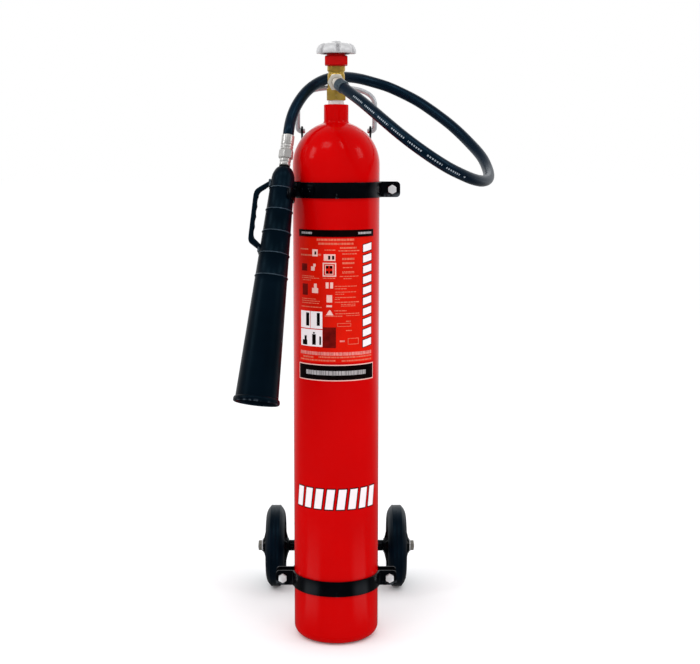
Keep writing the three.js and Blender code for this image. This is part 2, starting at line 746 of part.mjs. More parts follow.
function dischargeHorn() {
  const outline = [
    [adapterShankRadius + gap, 0], [hornNeckRadius, 0], [hornNeckRadius + 3.4, -2.2],
    [hornShoulderRadius - 3, -7.5], [hornShoulderRadius - 0.8, -13], [hornShoulderRadius, -hornShoulderEnd],
  ];
  for (let i = 0; i < hornRibCount; i += 1) outline.push(...ribOutline(hornRibFirst + i * hornRibSpacing));
  const rimTop = hornLength - hornRimLength;
  outline.push(
    [hornRadiusAt(rimTop), -rimTop], [hornRimRadius - 0.6, -(rimTop + 1.5)], [hornRimRadius, -(rimTop + 4)],
    [hornRimRadius - 0.6, -(hornLength - 1)], [hornRimRadius - 1.8, -hornLength],
    [hornMouthRadius - hornWall + 1, -hornLength], [hornRadiusAt(rimTop) - hornWall, -rimTop],
    [hornShoulderRadius - hornWall, -hornShoulderEnd], [hornShoulderRadius - hornWall - 3, -hornChamberStart],
    [adapterShankRadius + gap, -hornChamberStart + 1],
  );
  return turned(outline, fine - 8);
}

addPiece('discharge_horn', dischargeHorn(), finishes.blackPlastic, hornGroup);

addPiece('horn_seal_ring', ring(adapterShankRadius + gap, sealRadius, gap, gap + sealThickness, coarse),
  finishes.hoseRubber, hornGroup);

const adapterLow = 2 * gap + sealThickness;
const adapterTop = adapterLow + adapterLength;
const swivelLow = adapterTop + gap;
const swivelTop = swivelLow + swivelNutLength;
const hornFerruleLow = swivelTop + gap;

addPiece('horn_adapter', turned([
  [adapterBoreRadius, -adapterShankLength], [adapterShankRadius, -adapterShankLength],
  [adapterShankRadius, adapterLow], [adapterRadius - 0.8, adapterLow], [adapterRadius, adapterLow + 0.8],
  [adapterRadius, adapterTop], [adapterShankRadius, adapterTop],
  [adapterShankRadius, adapterTop + adapterSpigotLength],
  [adapterBoreRadius, adapterTop + adapterSpigotLength],
], coarse), finishes.zinc, hornGroup);

addPiece('horn_swivel_nut',
  hexNut(swivelNutFlats, adapterShankRadius + gap, swivelLow, swivelTop, 20), finishes.zinc, hornGroup);

addPiece('horn_end_ferrule',
  turned(ferruleOutline(hornFerruleLength, tailBoreRadius), coarse).translate(0, 0, hornFerruleLow),
  finishes.zinc, hornGroup);

// ---------------------------------------------------------------- horn handle

const hornSkin = (clearance) => {
  const points = [[0, -hornShoulderEnd + 10], [hornShoulderRadius + clearance, -hornShoulderEnd + 10]];
  points.push([hornShoulderRadius + clearance, -hornShoulderEnd],
    [hornMouthRadius + clearance, -hornLength], [0, -hornLength]);
  return turned(points, fine - 8);
};

function handleCollar(from) {
  const to = from + handleCollarHeight;
  const outer = Math.max(hornRadiusAt(from), hornRadiusAt(to)) + gap + handleCollarWall;
  return common(
    rod(outer, -to, -from, medium),
    wedge(handleCollarFrom, handleCollarTo, outer * 2, -to, -from));
}

// The D-shaped grip, drawn as distance from the horn's axis against distance down it.
function handleGrip() {
  const root = handleRootDepth * hornShoulderRadius;
  const innerTop = handleUpperCorner + handleInnerTopDrop;
  const innerLow = handleLowerCorner - handleInnerLowRise;
  const rounding = (corner, points) => points.map(([inward, down]) => [
    handleGripOuter - inward, corner + down]);
  const outline = [
    [root, handleUpperStart], ...rounding(handleUpperCorner, handleUpperRounding),
    ...rounding(handleLowerCorner, handleLowerRounding), [root, handleLowerEnd],
    [root, handleLowerEnd - handleArmWidth], [handleGripInner, innerLow],
  ];
  const steps = handleScallops * perScallop;
  for (let i = 1; i < steps; i += 1) {
    const down = THREE.MathUtils.lerp(innerLow, innerTop, i / steps);
    const wave = Math.abs(Math.sin(Math.PI * handleScallops * i / steps));
    outline.push([handleGripInner + handleScallopDepth * (wave - 0.5), down]);
  }
  const [inward, above] = handleInnerRounding;
  outline.push([handleGripInner, innerTop], [handleGripInner - inward, innerTop + above],
    [root, handleUpperStart + handleArmWidth]);
  const flat = plate(outlineShape(outline), -handleThickness / 2, handleThickness / 2);
  return flat.applyMatrix4(new THREE.Matrix4().makeBasis(
    new THREE.Vector3(-1, 0, 0), new THREE.Vector3(0, 0, -1), new THREE.Vector3(0, -1, 0)));
}

// Shapes a screw along +X from the horn's axis, then turns it to its place round the horn.
const atHandleScrew = (geometry, from) => geometry
  .rotateY(Math.PI / 2).rotateZ(degrees(handleScrewAngle))
  .translate(0, 0, -(from + handleCollarHeight / 2));

function hornHandle() {
  const holes = handleCollarStarts.map((from) => atHandleScrew(
    rod(handleScrewRadius + gap, hornWall, handleGripOuter, 12), from));
  const grip = cut(handleGrip(), hornSkin(gap + hornRibHeight));
  return cut(joined(grip, ...handleCollarStarts.map(handleCollar)), hornSkin(gap), ...holes);
}

addPiece('horn_handle', hornHandle(), finishes.blackPlastic, hornGroup);

handleCollarStarts.forEach((from, i) => {
  const seat = Math.max(hornRadiusAt(from), hornRadiusAt(from + handleCollarHeight))
    + 2 * gap + handleCollarWall;
  const foot = hornRadiusAt(from + handleCollarHeight / 2) + gap;
  addPiece(['horn_handle_screw_upper', 'horn_handle_screw_lower'][i], atHandleScrew(turned([
    [0, foot], [handleScrewRadius, foot], [handleScrewRadius, seat], [handleScrewHeadRadius, seat],
    [handleScrewHeadRadius - 0.6, seat + handleScrewHeadHeight], [0, seat + handleScrewHeadHeight],
  ], 12), from), finishes.zinc, hornGroup);
});

// ---------------------------------------------------------------- clamps

// Half of a clamp seen from above, on the -Y side: a band with an ear at each end.
function clampShape(earFace, earReach) {
  const earFar = earFace + bandThickness;
  const inside = THREE.MathUtils.radToDeg(Math.asin(earFace / bandInner));
  const outside = THREE.MathUtils.radToDeg(Math.asin(earFar / bandOuter));
  return outlineShape([
    [earReach, -earFace], [earReach, -earFar],
    ...arc(0, 0, bandOuter, -outside, -180 + outside, 22),
    [-earReach, -earFar], [-earReach, -earFace],
    ...arc(0, 0, bandInner, -180 + inside, -inside, 22),
  ].reverse());
}

function clampHalf(low, earFace, earReach, boltOffset) {
  const band = plate(clampShape(earFace, earReach), low, low + bandHeight);
  const reach = earReach + 1;
  const corners = drawnInXZ(plate(
    roundedRectangle(-earReach, low, earReach, low + bandHeight, earCorner), 0, reach));
  const holes = [-1, 1].map((side) =>
    rodAlongY(boltRadius + gap, -earFace - bandThickness - 1, -earFace + 1, low + bandHeight / 2)
      .translate(side * boltOffset, 0, 0));
  return cut(common(band, corners), ...holes);
}

const facingBack = (geometry) => geometry.rotateZ(Math.PI);

function boltAlongY(earFace) {
  const seat = earFace + bandThickness + gap;
  const nutEnd = seat + boltNutHeight;
  return joined(
    plate(hexagon(boltFlats, 30), -seat - boltHeadHeight, -seat),
    rod(boltRadius, -seat - 1, nutEnd + boltBeyondNut, coarse)).rotateX(-Math.PI / 2);
}

function nutAlongY(earFace) {
  const seat = earFace + bandThickness + gap;
  return hexNut(boltFlats, boltRadius + gap, seat, seat + boltNutHeight, 30).rotateX(-Math.PI / 2);
}

function addBolts(clamp, low, earFace, boltOffset) {
  for (const [side, sign] of [['left', -1], ['right', 1]]) {
    const place = [sign * boltOffset, 0, low + bandHeight / 2];
    addPiece(`${clamp}_bolt_${side}`, boltAlongY(earFace).translate(...place), finishes.zinc);
    addPiece(`${clamp}_nut_${side}`, nutAlongY(earFace).translate(...place), finishes.zinc);
  }
}

// A short rod that points at the cylinder's axis from outside.
const radialRod = (radius, near, far, angle, height, segments = 12) =>
  rod(radius, near, far, segments).rotateY(Math.PI / 2).rotateZ(degrees(angle)).translate(0, 0, height);

const strapInner = bandOuter + gap;
const strapOuter = strapInner + clipWall;
const rivetHoles = () => clipRivetAngles.map((angle) =>
  radialRod(rivetRadius + gap, cylinderRadius - 1, strapOuter + 2, angle, clipRivetHeight));

addPiece('upper_clamp_front',
  cut(clampHalf(upperClampLow, upperEarFace, upperEarReach, upperBoltOffset), ...rivetHoles()),
  finishes.blackPaint);

// A flat lug that stands up from the rear half of the upper clamp and carries the bail.
const lugFaceOut = bailSpan / 2 - bailRodRadius - lugPlay;
const lugFaceIn = lugFaceOut - lugThickness;

function bailLug(sign) {
  const half = lugWidth / 2;
  const shape = outlineShape([
    [bailPivotY - half, upperClampLow], [bailPivotY + half, upperClampLow],
    ...arc(bailPivotY, bailPivotHeight, half, 0, 180, 8),
  ]);
  shape.holes.push(roundHole(bailRodRadius + bailHolePlay, bailPivotY, bailPivotHeight));
  return drawnInYZ(plate(shape, sign > 0 ? lugFaceIn : -lugFaceOut, sign > 0 ? lugFaceOut : -lugFaceIn));
}

const upperRear = facingBack(clampHalf(upperClampLow, upperEarFace, upperEarReach, upperBoltOffset));
addPiece('upper_clamp_rear', joined(upperRear, bailLug(1), bailLug(-1)), finishes.blackPaint);

addBolts('upper_clamp', upperClampLow, upperEarFace, upperBoltOffset);

// ---------------------------------------------------------------- carry bail

function carryBail() {
  const half = bailSpan / 2;
  const pinEnd = half - bailPinReach;
  const squareness = 2 / bailArchPower;
  const points = [
    [-pinEnd, 0], [-half + bailCorner, 0],
    ...arc(-half + bailCorner, bailCorner, bailCorner, 270, 180, 3).slice(1),
    ...arc(0, 0, 1, 180, 0, 18).map(([x, z]) => [
      half * Math.sign(x) * Math.abs(x) ** squareness, bailLeg + bailArchHeight * Math.abs(z) ** squareness]),
    ...arc(half - bailCorner, bailCorner, bailCorner, 0, -90, 3).slice(0, -1),
    [half - bailCorner, 0], [pinEnd, 0],
  ];
  const stations = points.map(([x, z]) => new THREE.Vector3(x, bailPivotY, bailPivotHeight + z));
  const bend = new THREE.CatmullRomCurve3(stations, false, 'centripetal');
  return new THREE.ExtrudeGeometry(roundShape(bailRodRadius, bailSides), {
    steps: bailSteps, extrudePath: bend,
  });
}

addPiece('carry_bail', carryBail(), finishes.steelRod);

// ---------------------------------------------------------------- horn clip

// A spring ring round the horn, a bridge and a strap that is riveted over the front clamp band.
function hornClip() {
  const clipEnd = clipStart + clipHeight;
  const bore = hornRadiusAt(clipEnd) + clipPlay;
  const middle = new THREE.Vector3(0, 0, -(clipStart + clipEnd) / 2).applyMatrix4(hornFrame);
  const towards = Math.atan2(middle.y, middle.x) * 180 / Math.PI;
  const mouth = wedge(towards - clipMouthBehind, towards + clipMouthAhead, bore * 3,
    -clipEnd - 1, -clipStart + 1);
  const ringPart = cut(ring(bore, bore + clipWall, -clipEnd, -clipStart), mouth).applyMatrix4(hornFrame);
  const strap = common(
    ring(strapInner, strapOuter, clipStrapLow, clipStrapLow + clipStrapHeight, 72),
    wedge(clipStrapFrom, clipStrapTo, strapOuter * 2, clipStrapLow, clipStrapLow + clipStrapHeight));
  const bridgeFar = Math.hypot(middle.x, middle.y) - bore;
  const bridge = new THREE.BoxGeometry(bridgeFar - strapInner, clipBridgeWidth, clipBridgeHeight)
    .translate((bridgeFar + strapInner) / 2, 0, clipBridgeLow + clipBridgeHeight / 2)
    .rotateZ(degrees(towards));
  const hornSpace = rod(bore, -clipEnd - clipBridgeHeight, -clipStart + clipBridgeHeight)
    .applyMatrix4(hornFrame);
  return cut(joined(ringPart, strap, cut(bridge, hornSpace, rod(strapInner, 0, shoulderHeight, 72))),
    ...rivetHoles());
}

addPiece('horn_clip', hornClip(), finishes.blackPaint);

clipRivetAngles.forEach((angle, i) => {
  const seat = strapOuter + gap;
  const rivet = turned([
    [0, bandInner + gap], [rivetRadius, bandInner + gap], [rivetRadius, seat], [rivetHeadRadius, seat],
    [rivetHeadRadius * 0.75, seat + rivetHeadHeight * 0.75], [0, seat + rivetHeadHeight],
  ], 12).rotateY(Math.PI / 2).rotateZ(degrees(angle)).translate(0, 0, clipRivetHeight);
  addPiece(['horn_clip_rivet_outer', 'horn_clip_rivet_inner'][i], rivet, finishes.blackPaint);
});

// ---------------------------------------------------------------- trolley

addPiece('lower_clamp_front', clampHalf(lowerClampLow, lowerEarFace, lowerEarReach, lowerBoltOffset),
  finishes.blackPaint);

// The rear half of the lower clamp carries two welded arms that reach back to the axle.
function trolleyArm(sign) {
  const top = lowerClampLow + bandHeight;
  const front = bandInner * 0.6;
  const shape = outlineShape([
    [front, lowerClampLow], ...arc(axleBehind, wheelRadius, armEyeRadius, -75, 80, 8), [front, top],
  ]);
  shape.holes.push(roundHole(axleTubeRadius + gap, axleBehind, wheelRadius));
  const near = sign > 0 ? armOffset : -armOffset - armThickness;
  return cut(drawnInYZ(plate(shape, near, near + armThickness)),
    rod(bandInner, lowerClampLow - 1, lowerClampLow + bandHeight + 1, 48));
}

const lowerRear = facingBack(clampHalf(lowerClampLow, lowerEarFace, lowerEarReach, lowerBoltOffset));
addPiece('trolley_frame', joined(lowerRear, trolleyArm(1), trolleyArm(-1)), finishes.blackPaint);

addBolts('lower_clamp', lowerClampLow, lowerEarFace, lowerBoltOffset);

// Turned pieces of the axle are drawn along Z and laid along X at the axle's place.
const onAxle = (geometry) => geometry.rotateY(Math.PI / 2).translate(0, axleBehind, wheelRadius);

const hubInnerFace = wheelTrackHalf - hubWidth / 2;
const hubOuterFace = wheelTrackHalf + hubWidth / 2;
const washerSeat = hubOuterFace + gap;
const axleNutSeat = washerSeat + wheelWasherThickness + gap;
const axleEnd = axleNutSeat + axleNutHeight + axleEndShowing;

addPiece('axle_rod', onAxle(rod(axleRadius, -axleEnd, axleEnd, coarse)), finishes.zinc);
addPiece('axle_tube', onAxle(ring(axleTubeRadius - axleTubeWall, axleTubeRadius,
  -hubInnerFace + gap, hubInnerFace - gap, coarse)), finishes.blackPaint);

function wheelHub() {
  const halfWidth = hubWidth / 2;
  const halfRim = hubRimWidth / 2;
  const halfWeb = hubWebThickness / 2;
  const rimTop = tyreInnerRadius - gap;
  const side = [
    [bushOuterRadius + gap, halfWidth], [hubBossRadius - 3, halfWidth], [hubBossRadius - 1, halfWidth - 3],
    [hubBossRadius + 2, halfWeb], [hubRimRadius - 2, halfWeb], [hubRimRadius + 1, halfRim], [rimTop, halfRim],
  ];
  return turned([...side, ...side.map(([radius, height]) => [radius, -height]).reverse()], medium);
}

function tyre() {
  const half = tyreWidth / 2;
  const side = [
    [tyreInnerRadius, half - 2 * tyreSidewall], [tyreInnerRadius + 6, half],
    [wheelRadius - tyreChamfer, half], [wheelRadius - 1.2, half - tyreChamfer * 0.7],
    [wheelRadius, half - tyreChamfer],
  ];
  return turned([...side, ...side.map(([radius, height]) => [radius, -height]).reverse()], fine);
}

for (const [side, sign] of [['left', -1], ['right', 1]]) {
  const place = (geometry) => onAxle(geometry).translate(sign * wheelTrackHalf, 0, 0);
  addPiece(`wheel_hub_${side}`, place(wheelHub()), finishes.hubPlastic);
  addPiece(`tyre_${side}`, place(tyre()), finishes.tyreRubber);
  addPiece(`wheel_bush_${side}`, place(ring(axleRadius + gap, bushOuterRadius,
    -hubWidth / 2, hubWidth / 2, coarse)), finishes.nylon);
  const outward = (low, high) => (sign > 0 ? [low, high] : [-high, -low]);
  addPiece(`wheel_washer_${side}`, onAxle(ring(axleRadius + gap, wheelWasherRadius,
    ...outward(washerSeat, washerSeat + wheelWasherThickness), coarse)), finishes.zinc);
  addPiece(`axle_nut_${side}`, onAxle(hexNut(axleNutFlats, axleRadius + gap,
    ...outward(axleNutSeat, axleNutSeat + axleNutHeight))), finishes.zinc);
}

// ---------------------------------------------------------------- origin

// The origin is the middle of the footprint of everything but the free hose and its ferrules.
const hosePieces = ['hose', 'valve_end_ferrule', 'horn_end_ferrule'];
extinguisher.updateMatrixWorld(true);
const bounds = new THREE.Box3();
extinguisher.traverse((piece) => {
  if (piece.isMesh && !hosePieces.includes(piece.name)) bounds.expandByObject(piece, true);
});
const middle = bounds.getCenter(new THREE.Vector3());
extinguisher.position.set(-middle.x, -middle.y, 0);

export default extinguisher;
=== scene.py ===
from math import acos, asin, atan2, ceil, copysign, cos, degrees, hypot, pi, radians, sin, sqrt, tan

import bmesh
import bpy
from mathutils import Matrix, Vector


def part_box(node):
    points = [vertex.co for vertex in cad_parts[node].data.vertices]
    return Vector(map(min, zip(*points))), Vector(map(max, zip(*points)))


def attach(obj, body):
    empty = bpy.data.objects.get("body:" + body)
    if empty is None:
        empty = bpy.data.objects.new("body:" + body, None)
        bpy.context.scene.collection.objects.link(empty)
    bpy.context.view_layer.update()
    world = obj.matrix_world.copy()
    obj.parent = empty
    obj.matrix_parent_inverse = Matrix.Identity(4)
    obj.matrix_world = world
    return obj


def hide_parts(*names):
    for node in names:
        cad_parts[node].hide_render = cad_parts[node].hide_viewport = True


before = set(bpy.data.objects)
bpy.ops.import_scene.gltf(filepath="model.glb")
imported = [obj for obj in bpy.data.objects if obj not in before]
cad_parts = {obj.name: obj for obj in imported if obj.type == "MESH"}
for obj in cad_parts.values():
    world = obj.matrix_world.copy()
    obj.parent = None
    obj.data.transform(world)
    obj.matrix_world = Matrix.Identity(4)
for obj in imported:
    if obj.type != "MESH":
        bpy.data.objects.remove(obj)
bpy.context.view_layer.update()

scene = bpy.context.scene

# ---------- places
# Pieces are drawn in millimetres about the cylinder's axis; AXIS moves them to the part's frame.
low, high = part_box("cylinder_shell")
AXIS = Vector(((low.x + high.x) / 2, (low.y + high.y) / 2, 0))
MM = 0.001
GAP = 0.3  # clearance between neighbouring pieces
ROOT = "cylinder_and_trolley"
EYE = (0, -2108, 808)  # the camera's place
CENTRE_COLUMN = 336.2  # where the axis stands in a picture 700 wide


def in_frame(point):
    return AXIS + Vector(point) * MM


def add_object(name, data):
    obj = bpy.data.objects.new(name, data)
    scene.collection.objects.link(obj)
    return obj


# ---------- camera
camera_data = bpy.data.cameras.new("camera")
camera = add_object("camera", camera_data)
camera.location = in_frame(EYE)
camera.rotation_euler = (radians(81.98), 0, 0)
camera_data.sensor_width = 36
camera_data.lens = 66.857
camera_data.shift_x = (350 - CENTRE_COLUMN) / 700
camera_data.clip_end = 200
scene.camera = camera
scene.view_settings.view_transform = "Standard"


# ---------- materials
class Nodes:
    """The shader nodes of a material or world, with short ways to add and join them."""

    def __init__(self, owner, output=None):
        owner.use_nodes = True
        self.tree = owner.node_tree
        if output:
            self.tree.nodes.clear()
            self.end = self.add(output).inputs[0]

    def put(self, socket, value):
        """Links a socket to another node's output, or sets it. A colour has three numbers."""
        if isinstance(value, bpy.types.NodeSocket):
            self.tree.links.new(value, socket)
        else:
            socket.default_value = (*value, 1) if socket.type == "RGBA" else value

    def add(self, kind, values=(), **settings):
        node = self.tree.nodes.new("ShaderNode" + kind)
        for key, value in settings.items():
            setattr(node, key, value)
        for key, value in dict(values).items():
            self.put(node.inputs[key], value)
        return node

    def ramp(self, value, low, high, to_low=0, to_high=1, kind="LINEAR"):
        return self.add("MapRange", {"Value": value, "From Min": low, "From Max": high, "To Min": to_low,
                                     "To Max": to_high}, interpolation_type=kind).outputs[0]

    def ease(self, value, low, high, to_low=0, to_high=1):
        return self.ramp(value, low, high, to_low, to_high, "SMOOTHSTEP")

    def calc(self, kind, *values):
        return self.add("Math", enumerate(values), operation=kind).outputs[0]

    def times(self, a, b):
        return self.calc("MULTIPLY", a, b)

    def mix(self, factor, a, b):
        return self.add("Mix", {0: factor, 6: a, 7: b}, data_type="RGBA").outputs[2]

    def choose(self, factor, a, b):
        return self.add("Mix", {0: factor, 2: a, 3: b}, data_type="FLOAT").outputs[0]

    def split(self, vector):
        return self.add("SeparateXYZ", {0: vector}).outputs


def material(name, color, rough, slot=None, metal=0, specular=0.5, mottle=0.06, scale=60, spread=0.12,
             grain=900, height=20, wear=None, wear_from=0.53, painted_shade=None, streak=None, tint=(1, 1, 1)):
    """A procedural finish: mottled colour, spread roughness, fine grain, worn edges, painted shade in
    hollows.

    The scales are per metre, the grain's height is in micrometres."""
    mat = bpy.data.materials.new(name)
    nodes = Nodes(mat, "OutputMaterial")
    place = nodes.add("TexCoord").outputs["UV" if streak else "Object"]

    def noise(scale, detail, stretch=streak):
        spot = nodes.add("Mapping", {"Vector": place, "Scale": stretch}).outputs[0] if stretch else place
        return nodes.add("TexNoise", {"Scale": scale, "Detail": detail, "Vector": spot}).outputs["Fac"]

    dark = tuple(c * (1 - 2.2 * mottle) for c in color)
    pale = tuple(min(1, c * (1 + mottle) + 0.004 * mottle) for c in color)
    tone = nodes.mix(nodes.ramp(noise(scale, 4), 0.3, 0.7), dark, pale)
    roughness = nodes.ramp(noise(scale * 2.7, 3), 0.25, 0.75, max(0.03, rough * (1 - spread)),
                           rough * (1 + spread))
    if wear:
        edge = nodes.ramp(nodes.add("NewGeometry").outputs["Pointiness"], wear_from, wear_from + 0.06)
        patch = nodes.ramp(noise(140, 4, None), 0.46, 0.62)
        tone = nodes.mix(nodes.times(edge, patch), tone, wear)
    # painted shade: the colour darkens where ambient occlusion finds hollows
    if painted_shade:
        hollow = nodes.add("AmbientOcclusion", {"Distance": 0.01}, samples=8)
        tone = nodes.mix(nodes.ramp(hollow.outputs["AO"], 0.92, 0.5, 0, 0.9), tone, painted_shade)
    bump = nodes.add("Bump", {"Strength": 1, "Distance": height * 1e-6, "Height": noise(grain, 2)})
    shader = nodes.add("BsdfPrincipled", {
        "Base Color": tone, "Roughness": roughness, "Metallic": metal, "Specular IOR Level": specular,
        "Specular Tint": tint, "Normal": bump.outputs[0]})
    nodes.put(nodes.end, shader.outputs[0])
    return mat


def printed_ink(name, color, mottle=0.05, scale=60):
    return material(name, color, 0.3, specular=0.04, mottle=mottle, scale=scale, grain=1200, height=3)


PLATE = dict(scale=70, spread=0.1, grain=700, height=2, wear_from=0.58)

RED = material("red_enamel", (0.54, 0.0001, 0.0004), 0.13, "red_paint", specular=0.1, mottle=0.025, scale=9,
               grain=300, height=6)
RED_NUT = material("red_gland_paint", (0.46, 0.0004, 0.0006), 0.3, "red_paint", specular=0.1, mottle=0.05,
                   scale=80, grain=700, height=10, wear=(0.62, 0.04, 0.02), wear_from=0.6)
BLACK = material("black_enamel", (0.0002, 0.0004, 0.0014), 0.22, "black_paint", specular=0.16, mottle=0.2,
                 scale=40, grain=650, height=12, wear=(0.07, 0.08, 0.09), wear_from=0.55,
                 tint=(0.75, 0.88, 1))
HORN = material("horn_moulding", (0.0002, 0.0026, 0.0066), 0.36, "horn_plastic", specular=0.11, mottle=0.2,
                scale=12, spread=0.08, grain=1500, height=12, wear=(0.12, 0.15, 0.18), tint=(0.25, 0.7, 1))
HOSE = material("hose_rubber", (0.0002, 0.004, 0.0125), 0.36, "hose_rubber", specular=0.4, mottle=0.12,
                scale=2, spread=0.1, grain=6, streak=(40, 60, 1), tint=(0.22, 0.62, 1))
TYRE = material("tyre_rubber", (0.0002, 0.003, 0.0085), 0.38, "tyre_rubber", specular=0.17, mottle=0.2,
                scale=30, spread=0.15, grain=1300, tint=(0.3, 0.72, 1))
HUB = material("hub_moulding", (0.0004, 0.001, 0.0022), 0.4, "hub_plastic", specular=0.16, mottle=0.2,
               scale=50, grain=1200, height=12, tint=(0.7, 0.88, 1))
BRASS = material("valve_brass", (0.64, 0.42, 0.075), 0.32, "brass", 0.72, mottle=0.1, scale=45, grain=600,
                 height=6, wear=(0.84, 0.64, 0.3), wear_from=0.57)
# cast aluminium, with painted shade darkening the handwheel's clefts
CAST = material("cast_aluminium", (0.64, 0.64, 0.65), 0.4, "cast_aluminium", 0.3, mottle=0.015, scale=25,
                spread=0.08, grain=500, height=1.5, painted_shade=(0.2, 0.19, 0.21))
ZINC = material("zinc_plate", (0.84, 0.84, 0.85), 0.32, "zinc_steel", 0.38, mottle=0.03,
                wear=(0.9, 0.9, 0.9), **PLATE)
PLATED = material("plated_fitting", (0.74, 0.73, 0.71), 0.3, "zinc_steel", 0.72, mottle=0.04,
                  wear=(0.9, 0.89, 0.87), **PLATE)
NICKEL = material("nickel_plate", (0.66, 0.62, 0.54), 0.34, "zinc_steel", 0.4, mottle=0.03,
                  wear=(0.96, 0.94, 0.9), **PLATE)
FERRULE = material("blackened_ferrule", (0.1, 0.14, 0.17), 0.34, "black_paint", 0.75, mottle=0.08, scale=70,
                   grain=700, height=3, wear=(0.3, 0.34, 0.37), wear_from=0.56)
DULL = material("dulled_zinc", (0.42, 0.4, 0.36), 0.36, "zinc_steel", 0.75, mottle=0.08, scale=120,
                spread=0.15, grain=700, height=4, wear=(0.7, 0.68, 0.62), wear_from=0.57)
# paler than the horn's own colour: a painted highlight along the rib crests
RIB_HIGHLIGHT = material("horn_rib_painted_highlight", (0.03, 0.05, 0.07), 0.24, mottle=0.1, scale=40, grain=1200, height=6,
               tint=(0.7, 0.9, 1))
STEEL = material("polished_rod", (0.6, 0.62, 0.65), 0.34, "steel_rod", 0.45, scale=30, spread=0.2,
                 grain=500, height=4)
TAPE = material("thread_tape", (0.8, 0.79, 0.77), 0.6, "ptfe", scale=200, grain=1500, height=50)
SEAL = material("seal_rubber", (0.004, 0.005, 0.006), 0.55, "hose_rubber", specular=0.25, mottle=0.2,
                scale=200, grain=1800)
NYLON = material("natural_nylon", (0.68, 0.65, 0.58), 0.45, scale=120, grain=1400)
PANEL = printed_ink("panel_print", (0.66, 0.0075, 0.001), 0.07, 24)
INK = printed_ink("dark_print", (0.003, 0.0004, 0.0006), 0.2)
SMUDGE = printed_ink("shaded_print", (0.16, 0.003, 0.002), 0.16, 120)
PALE = printed_ink("pale_print", (0.84, 0.5, 0.45))
FADED = printed_ink("faded_print", (0.74, 0.15, 0.09), 0.12, 200)
ROSE = printed_ink("rose_print", (0.78, 0.23, 0.2), 0.12, 200)
GREY = printed_ink("grey_print", (0.4, 0.37, 0.38), 0.1, 150)
WHITE = printed_ink("white_print", (0.9, 0.82, 0.84), 0.02)
MAROON = printed_ink("outline_print", (0.045, 0.0006, 0.0015), 0.1)


# ---------- mesh tools
def polar(radius, angle, *rest):
    a = radians(angle)
    return (radius * cos(a), radius * sin(a), *rest)


def value_at(value, a):
    return value(a) if callable(value) else value


def arc_of(cx, cz, r, start, end, steps):
    """Points on an arc, its angles in degrees."""
    arc = [polar(r, start + (end - start) * i / steps) for i in range(steps + 1)]
    return [(cx + x, cz + z) for x, z in arc]


def rounded(profile, radius=0.8, steps=4):
    """Rounds the corners of an open polyline of 2-D points. A third number is a corner's radius."""
    points = [Vector(p[:2]) for p in profile]
    result = [points[0]]
    for i in range(1, len(points) - 1):
        a, b, c = points[i - 1:i + 2]
        r = profile[i][2] if len(profile[i]) > 2 else radius
        back, ahead = a - b, c - b
        reach = min(r, back.length * 0.48, ahead.length * 0.48)
        if reach < 1e-4:
            result.append(b)
            continue
        p, q = b + back.normalized() * reach, b + ahead.normalized() * reach
        for k in range(steps + 1):
            t = k / steps
            result.append(p * (1 - t) ** 2 + b * 2 * t * (1 - t) + q * t ** 2)
    result.append(points[-1])
    return [(p.x, p.y) for p in result]


def closed_rounded(profile, radius=0.8, steps=3):
    """Rounds every corner of a closed polyline."""
    start = ((profile[0][0] + profile[-1][0]) / 2, (profile[0][1] + profile[-1][1]) / 2)
    return rounded([start, *profile, start], radius, steps)[:-1]


def box_section(x0, x1, z0, z1, radius=0.5, steps=2):
    return closed_rounded([(x0, z0), (x1, z0), (x1, z1), (x0, z1)], radius, steps)


def lathe(profile, sides, closed=False):
    """Turns [radius, height] points round Z. A closed profile makes a ring."""
    verts, faces, rings = [], [], []
    for r, z in profile:
        around = 1 if r < 1e-5 else sides
        rings.append(range(len(verts), len(verts) + around))
        verts += [Vector(polar(r, 360 * k / sides, z)) for k in range(around)]
    for a, b in list(zip(rings, rings[1:])) + ([(rings[-1], rings[0])] if closed else []):
        for k in range(sides):
            m = (k + 1) % sides
            face = ((a[0],) if len(a) == 1 else (a[k], a[m])) + ((b[0],) if len(b) == 1 else (b[m], b[k]))
            if len(face) > 2:
                faces.append(face)
    return verts, faces


def turned(profile, radius, sides):
    return lathe(rounded(profile, radius), sides)


def ring(profile, radius, sides, steps=3):
    """A turned ring from the closed profile of its wall."""
    return lathe(closed_rounded(profile, radius, steps), sides, closed=True)


def loft(sections, looped=False):
    """Joins sections of equally many points into one skin, closed at its ends or looped."""
    n, count = len(sections[0]), len(sections)
    verts = [Vector(p) for section in sections for p in section]
    faces = []
    for i in range(count if looped else count - 1):
        a, b = i * n, ((i + 1) % count) * n
        for k in range(n):
            m = (k + 1) % n
            faces.append((a + k, a + m, b + m, b + k))
    if not looped:
        faces.append(tuple(range(n - 1, -1, -1)))
        faces.append(tuple((count - 1) * n + k for k in range(n)))
    return verts, faces


def swept(sections, start, end):
    """Joins [radius, height] sections that stand round Z from one angle to another."""
    step = (end - start) / (len(sections) - 1)
    return loft([[polar(r, start + step * k, z) for r, z in section] for k, section in enumerate(sections)])


def moved(shape, matrix):
    return [matrix @ v for v in shape[0]], shape[1]


def merged(*shapes):
    verts, faces = [], []
    for v, f in shapes:
        start = len(verts)
        verts.extend(v)
        faces.extend(tuple(i + start for i in face) for face in f)
    return verts, faces


def at(x=0, y=0, z=0):
    return Matrix.Translation((x, y, z))


def turn(angle, axis):
    return Matrix.Rotation(radians(angle), 4, axis)


ALONG_BACK = turn(-90, "X")  # drawn along +Z, laid along +Y
ALONG_FRONT = turn(90, "X")  # drawn along +Z, laid along -Y
ALONG_X = turn(90, "Y")


def upright(x, y=0, z=0):
    """Stands what is drawn in the XY plane along Y and Z, its thickness along X."""
    return Matrix(((0, 0, 1, x), (1, 0, 0, y), (0, 1, 0, z), (0, 0, 0, 1)))


